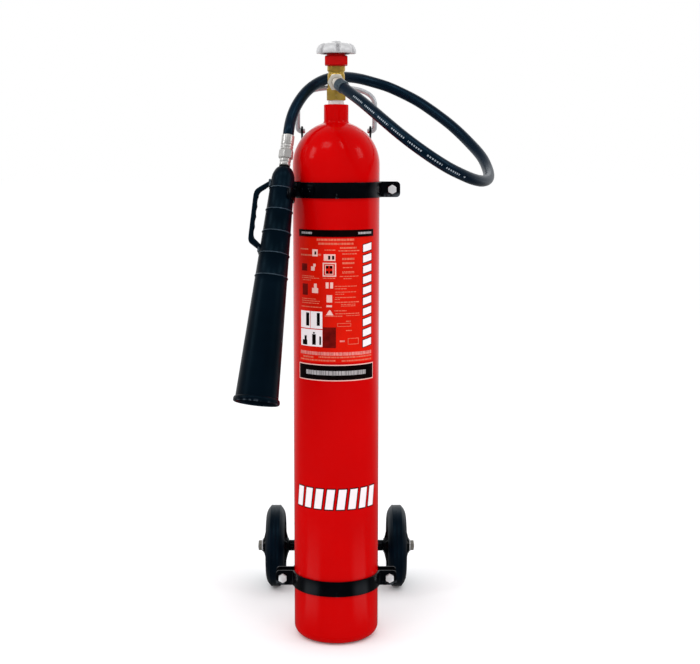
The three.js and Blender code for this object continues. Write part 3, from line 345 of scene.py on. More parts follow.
def piece(name, shape, mat, node=None, body=ROOT, sharp=38):
    """Makes an object from a shape in millimetres about the axis, and rides it on its body."""
    mesh = bpy.data.meshes.new(name)
    mesh.from_pydata([in_frame(v) for v in shape[0]], [], shape[1])
    bm = bmesh.new()
    bm.from_mesh(mesh)
    bmesh.ops.recalc_face_normals(bm, faces=bm.faces)
    bm.to_mesh(mesh)
    bm.free()
    mesh.shade_smooth()
    mesh.set_sharp_from_angle(angle=radians(sharp))
    mesh.materials.append(mat)
    obj = add_object(name, mesh)
    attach(obj, body)
    if node:
        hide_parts(node)
    return obj


def dress(node, how, shape, mat, body=ROOT, sharp=38):
    """The piece that stands for one node, named after it and after how it is made."""
    return piece(node + "_" + how, shape, mat, node, body, sharp)


def hexagonal(flats, z0, z1, bore=0, chamfer_low=False, corner=0, per=12):
    """A hexagon nut or head: turned chamfers cut across softened corners."""
    apothem, inner = flats / 2, max(bore, 0.02)
    face = apothem * 0.955
    angles = [i * 60 / per for i in range(6 * per)]

    def reach(a):
        return apothem / max(cos(radians((a % 60) - 30)), cos(radians(28.2)))

    def drop(a):
        return (reach(a) - face) * tan(radians(30))

    def circle(radius, z):
        return [polar(value_at(radius, a), a + corner, value_at(z, a)) for a in angles]

    sections = [circle(inner, z0), circle(face, z0),
                circle(reach, (lambda a: z0 + drop(a)) if chamfer_low else z0 + 0.15),
                circle(reach, lambda a: z1 - drop(a)), circle(face, z1)]
    if bore:
        return loft(sections + [circle(inner + 0.5, z1), circle(inner, z1 - 0.6)], looped=True)
    return loft(sections + [circle(inner, z1)])


def catmull(points, per):
    """Centripetal Catmull-Rom curve through 3-D points."""
    pts = [Vector(p) for p in points]
    pts = [pts[0] + (pts[0] - pts[1])] + pts + [pts[-1] + (pts[-1] - pts[-2])]
    curve = []
    for i in range(1, len(pts) - 2):
        p0, p1, p2, p3 = pts[i - 1:i + 3]
        d0, d1, d2 = [max(1e-4, (b - a).length ** 0.5) for a, b in ((p0, p1), (p1, p2), (p2, p3))]
        t1 = ((p1 - p0) / d0 - (p2 - p0) / (d0 + d1) + (p2 - p1) / d1) * d1
        t2 = ((p2 - p1) / d1 - (p3 - p1) / (d1 + d2) + (p3 - p2) / d2) * d1
        for k in range(per):
            t = k / per
            curve.append(p1 * (2 * t ** 3 - 3 * t ** 2 + 1) + t1 * (t ** 3 - 2 * t ** 2 + t)
                         + p2 * (-2 * t ** 3 + 3 * t ** 2) + t2 * (t ** 3 - t ** 2))
    curve.append(pts[-2])
    return curve


def tangent(path, i):
    return (path[min(i + 1, len(path) - 1)] - path[max(i - 1, 0)]).normalized()


def lengths_along(path):
    length = [0]
    for a, b in zip(path, path[1:]):
        length.append(length[-1] + (b - a).length)
    return length


def tube(path, radius, sides, first=None, ends=0):
    """A round bar along a path, turned as little as possible, its ends rounded over by a length."""
    sections = []
    length = lengths_along(path)
    side = (first or tangent(path, 0).orthogonal()).normalized()
    for i, point in enumerate(path):
        t = tangent(path, i)
        side = (side - t * side.dot(t)).normalized()
        across = t.cross(side)
        near = min(length[i], length[-1] - length[i])
        r = radius
        if near < ends:
            r -= ends * (1 - sqrt(1 - (1 - near / ends) ** 2)) * 0.9
        circle = [polar(r, 360 * k / sides) for k in range(sides)]
        sections.append([point + side * u + across * v for u, v in circle])
    return loft(sections)


# ---------- hose
HOSE_ROUTE = [
    (12.3, -58, 901.4), (19, -68.2, 895.7), (37, -96, 881), (56, -121, 864), (76, -143, 846),
    (97, -159, 828), (119, -169, 811), (142, -172, 795), (165, -165, 781), (188, -148, 770),
    (209, -123, 762), (227, -90, 759), (239, -53, 763), (242, -15, 775), (236, 21, 795),
    (218, 54, 819), (193, 81, 845), (165, 102, 868), (138, 117, 887), (112, 126, 901),
    (87, 128, 912), (63, 122, 919), (41, 110, 924), (21, 93, 926), (2, 73, 925), (-16, 54, 921),
    (-33, 36, 912), (-48, 20, 899), (-59.2, 6, 883.8), (-67.5, -6, 867.5), (-72.5, -16, 851.5),
    (-74.8, -25.9, 837.9), (-75.8, -28.7, 829.2)]
HOSE_RADIUS = 8.75


def print_line(mat, around, start, end):
    """Plain pale dashes in one line along the hose, from start to end in metres."""
    nodes = Nodes(mat)
    color = nodes.tree.nodes["Principled BSDF"].inputs["Base Color"]
    across, along, _ = nodes.split(nodes.add("TexCoord").outputs["UV"])

    def dashed(per_metre, gap):
        return nodes.calc("GREATER_THAN", nodes.calc("FRACT", nodes.times(along, per_metre)), gap)

    line = nodes.calc("COMPARE", across, around, 0.022)
    inside = nodes.calc("COMPARE", along, (start + end) / 2, (end - start) / 2)
    mask = nodes.times(nodes.times(line, dashed(260, 0.42)), nodes.times(dashed(31, 0.22), inside))
    nodes.put(color, nodes.mix(nodes.times(mask, 0.7), color.links[0].from_socket, (0.42, 0.46, 0.5)))


def make_hose():
    path = catmull(HOSE_ROUTE, 16)
    along = [length * MM for length in lengths_along(path)]
    sides = 36
    shape = tube(path, HOSE_RADIUS, sides)
    hose = dress("hose", "run", shape, HOSE, sharp=60)
    mesh = hose.data
    layer = mesh.uv_layers.new(name="run")
    for face in mesh.polygons:
        if len(face.vertices) != 4:
            continue
        corners = [(i, *divmod(mesh.loops[i].vertex_index, sides)) for i in face.loop_indices]
        around = [k for _, _, k in corners]
        wraps = max(around) - min(around) > sides / 2
        for i, station, k in corners:
            layer.data[i].uv = ((k + (sides if wraps and k == 0 else 0)) / sides, along[station])
    # the dashes run where the first part of the hose faces the camera
    facing = []
    for i, point in enumerate(path):
        if 0.05 < along[i] < 0.25:
            view = Vector(EYE) - point
            facing.append(max(range(sides), key=lambda k: (shape[0][i * sides + k] - point).dot(view)))
    print_line(HOSE, sum(facing) / len(facing) / sides + 0.02, 0.035, 0.27)
    return hose, [in_frame(p) for p in path], along[-1]


hose, hose_path, hose_length = make_hose()

# ---------- cylinder
RADIUS = 70
SHOULDER = 782
NECK_TOP = 878

neck, fillet, foot = 19.75, 5, 17
centre = neck + fillet
rise = SHOULDER + sqrt((RADIUS + fillet) ** 2 - centre ** 2)
meet = degrees(acos(centre / (RADIUS + fillet)))
outline = [(0, 6), (12, 5.7), (22, 4.6), (32, 2.2), (36.5, 0.9)]
outline += rounded([(38, 0.5), (40, 0), (46, 0)], 1.2)
outline += arc_of(RADIUS - foot, foot, foot, 270, 360, 16)
outline += [(RADIUS, z) for z in range(40, 780, 20)]
outline += arc_of(0, SHOULDER, RADIUS, 0, meet, 40)
outline += arc_of(centre, rise, fillet, 180 + meet, 180, 8)[1:]
outline += rounded([(neck, 868), (neck, NECK_TOP), (13.1, NECK_TOP), (13.1, 856)], 1.5, 5)
outline += [(0, 856)]
piece("cylinder_skin", lathe(outline, 160), RED, "cylinder_shell", sharp=50)


# ---------- label and bars
def wrap(quads, lift, thick=0.1):
    """Lays flat four-cornered patches, given as (degrees from the front, height), on the cylinder."""
    shapes = []
    for (a0, z0), (a1, z1), (a2, z2), (a3, z3) in quads:  # lower left, lower right, then the upper two
        n = max(2, ceil(max(abs(a1 - a0), abs(a2 - a3)) / 2.5))
        sections = []
        for i in range(n + 1):
            t = i / n
            corners = [(a0 + (a1 - a0) * t, z0 + (z1 - z0) * t), (a3 + (a2 - a3) * t, z3 + (z2 - z3) * t)]
            layers = ((RADIUS + lift, corners), (RADIUS + lift - thick, corners[::-1]))
            sections.append([polar(r, a - 90, z) for r, pair in layers for a, z in pair])
        shapes.append(loft(sections))
    return merged(*shapes)


def bar(a0, a1, z0, z1):
    return ((a0, z0), (a1, z0), (a1, z1), (a0, z1))


def bars(*corners):
    return [bar(*c) for c in corners]


def outline_of(a0, a1, z0, z1, line):
    """Four strips round a box, of one width in millimetres."""
    d = degrees(line / RADIUS)
    return bars((a0, a1, z0, z0 + line), (a0, a1, z1 - line, z1), (a0, a0 + d, z0 + line, z1 - line),
                (a1 - d, a1, z0 + line, z1 - line))


def dashes(a0, a1, top, high, salt):
    """A row of short plain dashes of uneven length."""
    quads, a, k = [], a0, salt
    while a < a1 - 0.5:
        wide = 1.3 + (k * 7 % 5) * 0.75
        quads.append(bar(a, min(a + wide, a1), top - high, top))
        a += wide + 0.55
        k += 3
    return quads


def printed(name, quads, mat, lift):
    piece(name, wrap(quads, lift), mat, sharp=60)


# print in rows: left, right, height of the top edge and thickness of each
PRINT_ROWS = (
    (-50.6, -29, 609.1, 1.6), (-50.6, -22.6, 606.2, 1.6), (-49.3, -34.8, 602.8, 1.6),
    (-50.8, -27.2, 572.9, 1.6), (-50.8, -21.8, 569.6, 1.6), (-50.8, -21.8, 566.2, 1.6),
    (-52.2, -18.4, 560.3, 2), (-17.5, -0.3, 606.8, 1.8), (7.8, 21.2, 630, 1.8), (8.6, 21.2, 623.6, 1.7),
    (7.8, 23.8, 617.1, 1.6), (7.8, 23.8, 615.1, 1.6), (4.6, 30.2, 609.7, 1.5), (9.5, 20.3, 606.1, 1.6),
    (-1.9, 27.5, 594.1, 1.6), (-1.9, 13.6, 590.2, 1.6), (-1.1, 26.6, 584.9, 1.5), (-1.1, 10.3, 581.5, 1.4),
    (-1.1, 26.6, 576.4, 1.8), (-1.9, 4.6, 573.4, 1.4), (-1.9, 31.3, 569, 2), (6.2, 25.7, 565.2, 1.4),
    (6.2, 25.7, 562.6, 1.4), (-2.7, 14.5, 555.3, 1.8), (-1.1, 31.3, 550.7, 1.8), (12.8, 32.3, 547.1, 1.2),
    (-15, 7.9, 546.8, 2), (12.8, 19.6, 538.5, 2), (12.8, 20.5, 523.6, 1.8), (-48.6, -31.2, 480.5, 3.3),
    (-23.7, 53.1, 481.2, 2.9), (-54.1, -0.3, 475.8, 3), (7.1, 53.2, 475.5, 2.8), (-26, 24.2, 668.4, 4.2),
    (-23.7, 23.4, 662, 3.9), (4.9, 27.4, 655.3, 3.3), (2.7, 31.6, 650.2, 2.1), (7.8, 27.4, 645.3, 2.1),
    (7.8, 25, 638.2, 3.9), (7.8, 24.3, 631.5, 3.8), (-54.1, -39, 652, 2.5), (-52.9, -32.7, 642.9, 3),
    (-23.7, -19.8, 644.5, 3.5), (-15.3, -0.8, 651.3, 1.8), (-16.8, -2.3, 635.7, 1.8))

printed("panel_field", [bar(-57, 57, 471, 669.5)], PANEL, 0.12)
printed("panel_smudges", bars((-51, -41, 616.5, 628), (-17.6, -0.3, 495, 528), (-49.4, -40, 578, 596)),
        SMUDGE, 0.17)
# two dark bands, and the plain shapes in the pale boxes
printed("panel_dark", bars(
    (-57, 57, 671, 682), (-56, 56, 443.2, 466.4), (-43, -37.6, 529, 550), (-26, -21.6, 530, 550.5),
    (-33, -27.5, 499, 516), (-31.6, -29, 517, 519.5), (-49.5, -41, 498, 506), (-46, -42, 506, 513),
    (-22.4, -20, 499.5, 513), (-13.2, -10, 621.5, 625.5), (-8.3, -5, 621.5, 625.5),
    (-13.2, -10, 613.5, 617.5), (-8.3, -5, 613.5, 617.5), (-29.2, -26.6, 643, 648),
    (-10.4, -7.6, 635.6, 641.6), (-5.4, -2.4, 635.6, 641.6)), INK, 0.36)
pale = outline_of(-57, 57, 441.6, 468, 1.5)
pale += outline_of(-17.6, 0, 608.6, 630.6, 2) + outline_of(-14.4, -3.6, 612, 627, 1)
pale += bars((-16.2, -1, 633.6, 644), (-32.5, -24.6, 640.2, 651.2), (-33, -24, 582, 590),
             (-30, -26, 590, 597), (-34.5, -29, 617.5, 624), (-31, -27.5, 624, 628.5),
             (-12.5, -5.2, 567.8, 579.4), (-12.8, -5.4, 560.4, 563.4), (-13.6, -9.8, 590, 599.6),
             (-7.8, -4, 590, 599.6))
pale += [((-13.3, 547.4), (-3.5, 547.4), (-7.6, 555.4), (-9.2, 555.4))]
printed("panel_pale", pale, PALE, 0.3)
printed("panel_band_marks", dashes(-43, 42, 458, 7, 2) + dashes(-51, -32, 678.4, 3.4, 0)
        + dashes(29.5, 52, 678.4, 3.4, 1), GREY, 0.42)
printed("panel_boxes", bars((-53, -36.2, 525.2, 552.6), (-35.4, -18.2, 525.2, 552.6),
                            (-53, -18.2, 496.4, 523.6)), WHITE, 0.3)
rules = outline_of(1.4, 19.6, 529.3, 534.8, 0.8) + outline_of(15.3, 30.5, 500.4, 510.5, 0.9)
for k, (a0, a1, top, high) in enumerate(PRINT_ROWS):
    rules += dashes(a0, a1, top, high * 0.82, k)
printed("panel_rules", rules, FADED, 0.22)
printed("panel_title", dashes(-54, 53, 488.2, 5.4, 1) + [bar(4.6, 11.2, 504.6, 507.3)], ROSE, 0.24)

# a column and a band of plain slanted bars, each with an edge round it
column, column_edge, band, band_edge = [], [], [], []
for z in [494.5 + k * 16.9 for k in range(10)]:
    column.append(((37.4, z), (52.6, z + 3.4), (52.6, z + 14.4), (37.4, z + 11)))
    column_edge.append(((36.4, z - 1.3), (53.6, z + 2.1), (53.6, z + 15.7), (36.4, z + 12.3)))
for a in [-62 + k * 15.6 for k in range(8)]:
    band.append(((a, 231), (a + 10.4, 231), (a + 13.8, 264), (a + 3.4, 264)))
    band_edge.append(((a - 1.4, 229.1), (a + 11.5, 229.1), (a + 15.3, 265.9), (a + 2.4, 265.9)))
for name, inner, edge in (("panel_bars", column, column_edge), ("front_bars", band, band_edge)):
    printed(name, inner, WHITE, 0.3)
    printed(name + "_edge", edge, MAROON, 0.2)


# ---------- valve
OUTLET = 912  # height of the outlet's axis
SAFETY = 894.25  # height of the safety plug's axis

tape = [(11.9, 862.2)]
for z in [862.6 + k * 1.95 for k in range(11)]:
    tape += [(12.45, z), (12.8, z + 0.5), (12.75, z + 1.2), (12.4, z + 1.7)]
tape += [(12.4, 884.2), (11.9, 884.2)]
piece("thread_tape_wound", lathe(tape, 64, closed=True), TAPE, "neck_thread_tape", sharp=50)

barrel = [(0, 858.5), (11.6, 858.5), (11.6, 885.5), (13.7, 885.5), (13.7, 925), (12.6, 927),
          (12.6, 929.6), (14.3, 931.2), (14.3, 938), (12, 938), (12, 948), (9, 948), (9, 930), (0, 930)]
boss = [(0, 0), (12, 0), (12, 15.6), (10.8, 17), (8.5, 17), (8.5, 27), (4, 27), (4, 18), (0, 18)]
safety = [(0, 0), (8, 0), (8, 22), (5.5, 22), (5.5, 20.5), (0, 20.5)]
dress("valve_body", "turned", merged(
    turned(barrel, 0.7, 96), hexagonal(30, 884.5, 904, chamfer_low=True, corner=30),
    moved(turned(boss, 0.8, 72), at(z=OUTLET) @ ALONG_FRONT),
    moved(turned(safety, 0.8, 64), at(z=SAFETY) @ ALONG_BACK)), BRASS)
stem = lathe(rounded([(1.5, -7), (5.2, -7), (5.2, 0.2), (1.5, 0.2)], 0.2), 32, closed=True)
dress("safety_plug", "turned", moved(merged(moved(hexagonal(14, 0, 6, bore=1.5), turn(30, "Z")), stem),
                                     at(y=22.3, z=SAFETY) @ ALONG_BACK), BRASS)

# gland nut: a square with chamfered corners between a skirt and a crown
GLAND_HALF, GLAND_LOW, GLAND_TOP = 18, 939.5, 954.5
CORNER_CUT = 3


def gland_section(inward, z, limit=99):
    """The square at one height, its corners cut off and kept within a circle."""
    size = GLAND_HALF - inward
    points = []
    for angle in [k * 2.5 for k in range(144)]:
        a = radians((angle + 45) % 90 - 45)
        across = (2 * size - CORNER_CUT) / (abs(cos(a)) + abs(sin(a)))
        points.append(polar(min(size / cos(a), across, limit), angle, z))
    return points


block = loft([gland_section(*station) for station in (
    (0.9, GLAND_LOW + 0.02), (0.25, GLAND_LOW + 0.3), (0, GLAND_LOW + 0.95), (0, GLAND_TOP - 3, 24.2),
    (0.1, GLAND_TOP - 2, 22.2), (0.35, GLAND_TOP - 1, 20.2), (0.9, GLAND_TOP - 0.3, 19),
    (1.6, GLAND_TOP, 17.9), (16, GLAND_TOP + 0.01))])
skirt = lathe(rounded([(5.3, 938.3), (15, 938.3), (15, 941), (14.2, 942), (14.2, 953), (15.2, 954),
                       (15.2, 957.5), (5.3, 957.5)], 0.8), 96, closed=True)
dress("gland_nut", "painted", merged(block, skirt), RED_NUT)

# handwheel, its nut and the spindle
TURNING = "handwheel_and_spindle"
WHEEL_FOOT = 957.8
WHEEL_RIM, DISH_EDGE, CROWN = 31.7, 19, 24.9  # radii


def cleft(a):
    """One in the middle of each cleft, falling to nothing over the lobes."""
    return abs(cos(radians((a + 84) * 3))) ** 12


def wheel_section(radius, z, groove=0):
    """A ring at one height. The groove lowers it along the clefts."""
    return [polar(value_at(radius, a), a, WHEEL_FOOT + z - groove * cleft(a))
            for a in [k * 1.25 for k in range(288)]]


def inset(depth, cut=6):
    return lambda a: WHEEL_RIM - depth - cut * cleft(a)


def share(part):
    """Radius part of the way from the dish's edge to the crown of the rim."""
    return lambda a: DISH_EDGE + (CROWN - 5.2 * cleft(a) - DISH_EDGE) * part


profile = [(4.3, 1.2), (5.2, 0), (9.2, 0), (10, 0.8), (10.4, 4.4), (11.4, 5), (20.6, 5), (21.6, 4.2),
           (22, 0.8), (22.8, 0), (inset(1.6), 0), (inset(0.7), 0.2), (inset(0.2), 0.7), (inset(0), 1.6),
           (inset(0), 3.6), (inset(0.25), 5.6, 0.2), (inset(0.9), 7.8, 0.5), (inset(1.9), 9.9, 1.1),
           (inset(3.2), 11.8, 1.9), (inset(4.9, 5.7), 13.5, 2.6), (inset(6.8, 5.2), 14.9, 3.2),
           (share(0.5), 15.75, 3.4), (share(0.22), 15.95, 2.6), (share(0), 15.6, 1.2), (17, 14.4, 0.4),
           (14, 13.2), (12.3, 12.7), (11, 12.8), (10, 13.3), (9, 13.6), (5, 13.6), (4.3, 13)]
wheel = loft([wheel_section(*station) for station in profile], looped=True)
dress("handwheel", "cast", wheel, CAST, TURNING, sharp=50)
dress("handwheel_nut", "cut", moved(hexagonal(13, 0, 5.5, bore=4.2), at(z=WHEEL_FOOT + 13.9)), ZINC, TURNING)
spindle = [(0, 912.4), (4.1, 912.4), (4.1, 930), (7.5, 930), (7.5, 934), (5, 934), (5, 959.8), (4, 959.8),
           (4, 968)]
for z in [968.4 + k * 0.9 for k in range(8)]:
    spindle += [(3.95, z), (3.55, z + 0.45)]
spindle += [(3.9, 975.6), (3.3, 976.2), (0, 976.2)]
dress("spindle", "turned", lathe(spindle, 48), ZINC, TURNING)


# ---------- hose fittings
def crimped(length, inner, grooves, outer=10.2):
    """A crimped ferrule from 0 to length, with pressed grooves."""
    outline = [(inner, 0), (outer - 1.2, 0, 0.4), (outer, 1.2, 0.5)]
    for g in grooves:
        outline += [(outer, g - 1.5), (outer - 0.7, g - 0.8), (outer - 0.7, g + 0.8), (outer, g + 1.5)]
    outline += [(outer, length - 1), (outer - 0.8, length, 0.4), (inner, length)]
    return ring(outline, 0.4, 72)


AIM = Vector((0.5, -0.75, -0.43)).normalized()  # the way the hose leaves the elbow
KNEE = Vector((0, -39.5, OUTLET))

along_aim = Matrix.Translation(KNEE + AIM * 8.3) @ AIM.to_track_quat("Z", "Y").to_matrix().to_4x4()
along_outlet = at(z=OUTLET) @ ALONG_FRONT
dress("valve_end_ferrule", "turned", moved(crimped(16, 4, (12.4,)), along_aim), FERRULE)
path = [Vector((0, -27.4, OUTLET)), Vector((0, -29.4, OUTLET))]
start, end = Vector((0, -31.5, OUTLET)), KNEE + AIM * 8
for t in [i / 16 for i in range(17)]:
    path.append(start * (1 - t) ** 2 + KNEE * 2 * t * (1 - t) + end * t ** 2)
flange = lathe(rounded([(3.5, 27.4), (8.1, 27.4), (8.1, 29.8), (3.5, 29.8)], 0.3), 48, closed=True)
collar = ring([(3.6, -2.6), (8.2, -2.6), (9, -1.6), (9, -0.2), (3.6, -0.2)], 0.4, 64)
dress("hose_elbow", "bent", merged(tube(path, 6.5, 40), moved(flange, along_outlet),
                                   moved(collar, along_aim)), NICKEL)
dress("outlet_union_nut", "cut", moved(hexagonal(24, 17.3, 31.3, bore=6.9, per=16), along_outlet), NICKEL)


# ---------- horn
THROAT = Vector((-81.5, -45, SHOULDER - 3))
UP = Vector((tan(radians(6.5)), tan(radians(18)), 1)).normalized()
SIDE = (Vector((1, 0, 0)) - UP * UP.x).normalized()
HORN_FRAME = Matrix.Translation(THROAT) @ Matrix((SIDE, UP.cross(SIDE), UP)).transposed().to_4x4()
RIBS = [36.8 + 35.4 * i for i in range(5)]  # distances below the throat


def horn_radius(down):
    return 18.3 + (33.6 - 18.3) * (down - 20) / 356


def on_horn(node, how, shape, mat, body="horn", sharp=38):
    dress(node, how, moved(shape, HORN_FRAME), mat, body, sharp)


outer = rounded([(5, -0.3), (8.2, -0.2), (8.6, -0.6)], 0.2)
outer += [(10.3, -1.2), (12, -2.4), (13.8, -4.9), (15.2, -7.7), (16.5, -10.5), (17.4, -13.3),
          (18, -16.8), (18.3, -20)]
crest_highlights = []
for d in RIBS:
    r = horn_radius(d)
    outer += [(horn_radius(d - 2.2), 2.2 - d), (horn_radius(d - 1.5) + 0.3, 1.5 - d), (r + 0.95, 0.8 - d),
              (r + 1.2, -d), (r + 0.95, -0.8 - d), (horn_radius(d + 1.5) + 0.3, -1.5 - d),
              (horn_radius(d + 2.2), -2.2 - d)]
    # a paler band on the upper slope of each crest: a painted highlight
    crest_highlights.append(lathe([(r + 0.2, 1.6 - d), (r + 0.72, 1.3 - d), (r + 1.08, 0.75 - d),
                         (r + 1.24, 0.2 - d), (r + 1, 0.1 - d), (r + 0.2, 0.6 - d)], 112, closed=True))
outer += [(horn_radius(d), -d) for d in range(190, 368, 15)]
outer += [(horn_radius(367), -367), (34.7, -368.2), (35.6, -369.6), (36, -371.6), (35.9, -373.8),
          (35.2, -375.4), (34.1, -376), (32.7, -375.6), (31.7, -374.2), (30.7, -371)]
inner = [(horn_radius(d) - 3, -d) for d in range(360, 20, -20)]
inner += [(15.2, -20), (14, -16.2), (11.6, -13.5), (7, -12.7), (5, -12.5)]
piece("horn_moulded", moved(lathe(outer + inner, 112, closed=True), HORN_FRAME), HORN, "discharge_horn",
      "horn", sharp=42)
piece("horn_rib_crest_highlights", moved(merged(*crest_highlights), HORN_FRAME), RIB_HIGHLIGHT, body="horn", sharp=60)
piece("horn_seal_turned", moved(ring([(4.8, 0.3), (8.6, 0.3), (8.6, 2.3), (4.8, 2.3)], 0.5, 64),
                                HORN_FRAME), SEAL, "horn_seal_ring", "horn")
on_horn("horn_adapter", "turned", ring(
    [(2.2, -9), (4.5, -9), (4.5, 2.6), (8.2, 2.6), (9, 3.4), (9, 6.2), (8.1, 7), (8.1, 8.2), (9, 9),
     (9, 13.3), (8.2, 14.1), (4.5, 14.1), (4.5, 23.1), (2.2, 23.1)], 0.35, 72), PLATED)
on_horn("horn_swivel_nut", "cut", hexagonal(21, 14.4, 27.4, bore=4.8, chamfer_low=True, corner=20, per=16),
        PLATED, ROOT)
on_horn("horn_end_ferrule", "turned", moved(crimped(25, 4, (3.2, 8)), at(z=27.7)), PLATED, ROOT)

# the D grip: an outer and an inner edge joined by rounded sections, and two collars
COLLARS = {"upper": 22, "lower": 129}  # their tops, below the throat
COLLAR_HIGH = 11
SCALLOPS_FROM, SCALLOPS_LONG, SCALLOPS = 51.5, 65.5, 4


def collar_section(start, k):
    """The collar's wall, thinner towards the first and the last of its 49 sections."""
    end = start + COLLAR_HIGH
    thin = max(0, 3 - min(k, 48 - k)) * 0.35
    outside = horn_radius(end) + 3.3 - thin
    return closed_rounded([(horn_radius(start) + 0.32, -start - 0.02), (outside, -start - 0.02),
                           (outside, -end + 0.02), (horn_radius(end) + 0.32, -end + 0.02)], 0.8, 2)


outer = [(13.5, 19.6), (20, 24.2), (29, 31), (36.5, 36.9), (40.2, 40.4), (42.2, 44.2), (43.1, 49),
         (43.2, 58), (43.2, 84), (43.2, 106), (43.1, 116), (42.6, 122.2), (40.4, 126.5), (34, 130.9),
         (24, 137.1), (13.5, 143.8)]
inner = [(13.5, 27.4), (20, 33.1), (27.5, 39.7), (32, 43.6), (33.8, 46.9), (34.9, 51.4), (35.2, 57),
         (35.2, 66), (35.2, 86), (35.2, 104), (35.1, 111), (34.9, 116.2), (32.6, 119.4), (27, 124.1),
         (20, 130.1), (13.5, 135.6)]
sections = []
for o, i in zip(*[catmull([(a, 0, b) for a, b in line], 12) for line in (outer, inner)]):
    down = (i.z - SCALLOPS_FROM) / SCALLOPS_LONG
    if 0 < down < 1 and i.x > 34.5:
        i.x += 1.3 * abs(sin(pi * down * SCALLOPS)) ** 0.8 - 0.8
    mid, half = (o + i) / 2, (o - i) / 2
    section = []
    for c, s in [polar(1, 15 * k) for k in range(24)]:
        f = 1 / (abs(c) ** 4 + abs(s) ** 4) ** 0.25
        p = mid + half * (c * f)
        section.append((-p.x, -4.2 * s * f, -p.z))
    sections.append(section)
collars = [swept([collar_section(start, k) for k in range(49)], 98, 193) for start in COLLARS.values()]
on_horn("horn_handle", "moulded", merged(loft(sections), *collars), HORN, sharp=45)
for name, start in COLLARS.items():
    seat = horn_radius(start + COLLAR_HIGH) + 3.6
    middle = start + COLLAR_HIGH / 2
    foot = horn_radius(middle) + 0.4
    head = turned([(0, foot), (2, foot), (2, seat), (3.6, seat), (3.5, seat + 0.9), (2.6, seat + 1.8),
                   (1.3, seat + 2), (1, seat + 1.3), (0, seat + 1.2)], 0.2, 32)
    on_horn("horn_handle_screw_" + name, "cut", moved(head, at(z=-middle) @ turn(132, "Z") @ ALONG_X), ZINC)


# ---------- clamps
BAND_IN, BAND_THICK, BAND_HIGH = 70.3, 3, 25
UPPER = dict(ear_face=3, reach=103, z_low=731)  # ear's face from the middle plane, half width, foot
LOWER = dict(ear_face=9, reach=101, z_low=85)
PIVOT_Y, PIVOT_Z = 53, 837  # the bail's pins
AXLE_Y, AXLE_Z = 241, 75


def bent_path(y, reach, bend=3.5):
    """Middle line of a clamp half seen from above, on the front side: ear, bend, arc, bend, ear."""
    mid_r = BAND_IN + BAND_THICK / 2
    inside = degrees(asin((y + bend) / (mid_r + bend)))
    x, _ = polar(mid_r + bend, inside)
    half = [(reach + (x - reach) * (0.02 + 0.98 * i / 14), -y) for i in range(15)]
    half += arc_of(x, -(y + bend), bend, 90 + (90 - inside) / 8, 180 - inside, 7)
    arc = [polar(mid_r, -inside - (180 - 2 * inside) * k / 72) for k in range(1, 72)]
    return half + arc + [(-x, y) for x, y in reversed(half)]


def band(ear_face, reach, z_low, corner=6):
    """A flat bar bent round the cylinder, with rounded ear ends and softened edges."""
    y = ear_face + BAND_THICK / 2
    ends = [reach - corner * (1 - cos(radians(90 * k / 8))) for k in range(9)]
    inner = [p for p in bent_path(y, reach) if abs(p[0]) < reach - corner - 0.3]
    path = [Vector((*p, 0)) for p in [(x, -y) for x in ends] + inner + [(-x, -y) for x in reversed(ends)]]
    sections = []
    for i, p in enumerate(path):
        t = tangent(path, i)
        d = reach - abs(p.x)
        half = BAND_HIGH / 2
        if d < corner:
            half = max(1, half - corner + sqrt(max(0, corner ** 2 - (corner - d) ** 2)))
        section = box_section(-BAND_THICK / 2, BAND_THICK / 2, -half, half, 0.7, 3)
        sections.append([(p.x + t.y * n, p.y - t.x * n, z_low + BAND_HIGH / 2 + z) for n, z in section])
    return loft(sections)


def rear_band(**sizes):
    return moved(band(**sizes), turn(180, "Z"))


def slab(outline, thickness, edge=0.5):
    """A flat plate from z 0 to thickness with softened edges. Its outline runs anticlockwise."""
    corners = []
    for i, b in enumerate(outline):
        a, b, c = Vector(outline[i - 1]), Vector(b), Vector(outline[(i + 1) % len(outline)])
        n1 = Vector(((b - a).y, -(b - a).x)).normalized()
        n2 = Vector(((c - b).y, -(c - b).x)).normalized()
        m = (n1 + n2).normalized() if (n1 + n2).length > 1e-6 else n1
        corners.append((b, m / max(0.5, m.dot(n1))))
    layers = [(edge, 0), (edge * 0.3, edge * 0.3), (0, edge), (0, thickness - edge),
              (edge * 0.3, thickness - edge * 0.3), (edge, thickness)]
    return loft([[(*(b - m * d), z) for b, m in corners] for d, z in layers])


def bolt(ear_face, x, z):
    """A chamfered hexagon bolt through both ears, drawn from the front to the back."""
    seat = ear_face + BAND_THICK + GAP
    end = seat + 8.5
    head = merged(hexagonal(13, 0, 5.3, corner=30),
                  turned([(0, -0.05), (6.1, -0.05), (6.1, 0.35), (0, 0.35)], 0.1, 40))
    shank = [(0, 0), (4, 0), (4, seat)]
    for k in range(7):
        shank += [(3.95, seat + k + 0.2), (3.5, seat + k + 0.7)]
    shank += [(3.9, end - 1), (3.2, end), (0, end)]
    return merged(moved(head, at(x, -seat, z) @ ALONG_FRONT),
                  moved(lathe(shank, 32), at(x, 0, z) @ ALONG_BACK),
                  moved(lathe([(0, 0), (4, 0), (4, seat), (0, seat)], 32), at(x, 0, z) @ ALONG_FRONT))


def nut(ear_face, x, z):
    return moved(hexagonal(13, 0, 6.5, bore=4.2, chamfer_low=True, corner=30),
                 at(x, ear_face + BAND_THICK + GAP, z) @ ALONG_BACK)


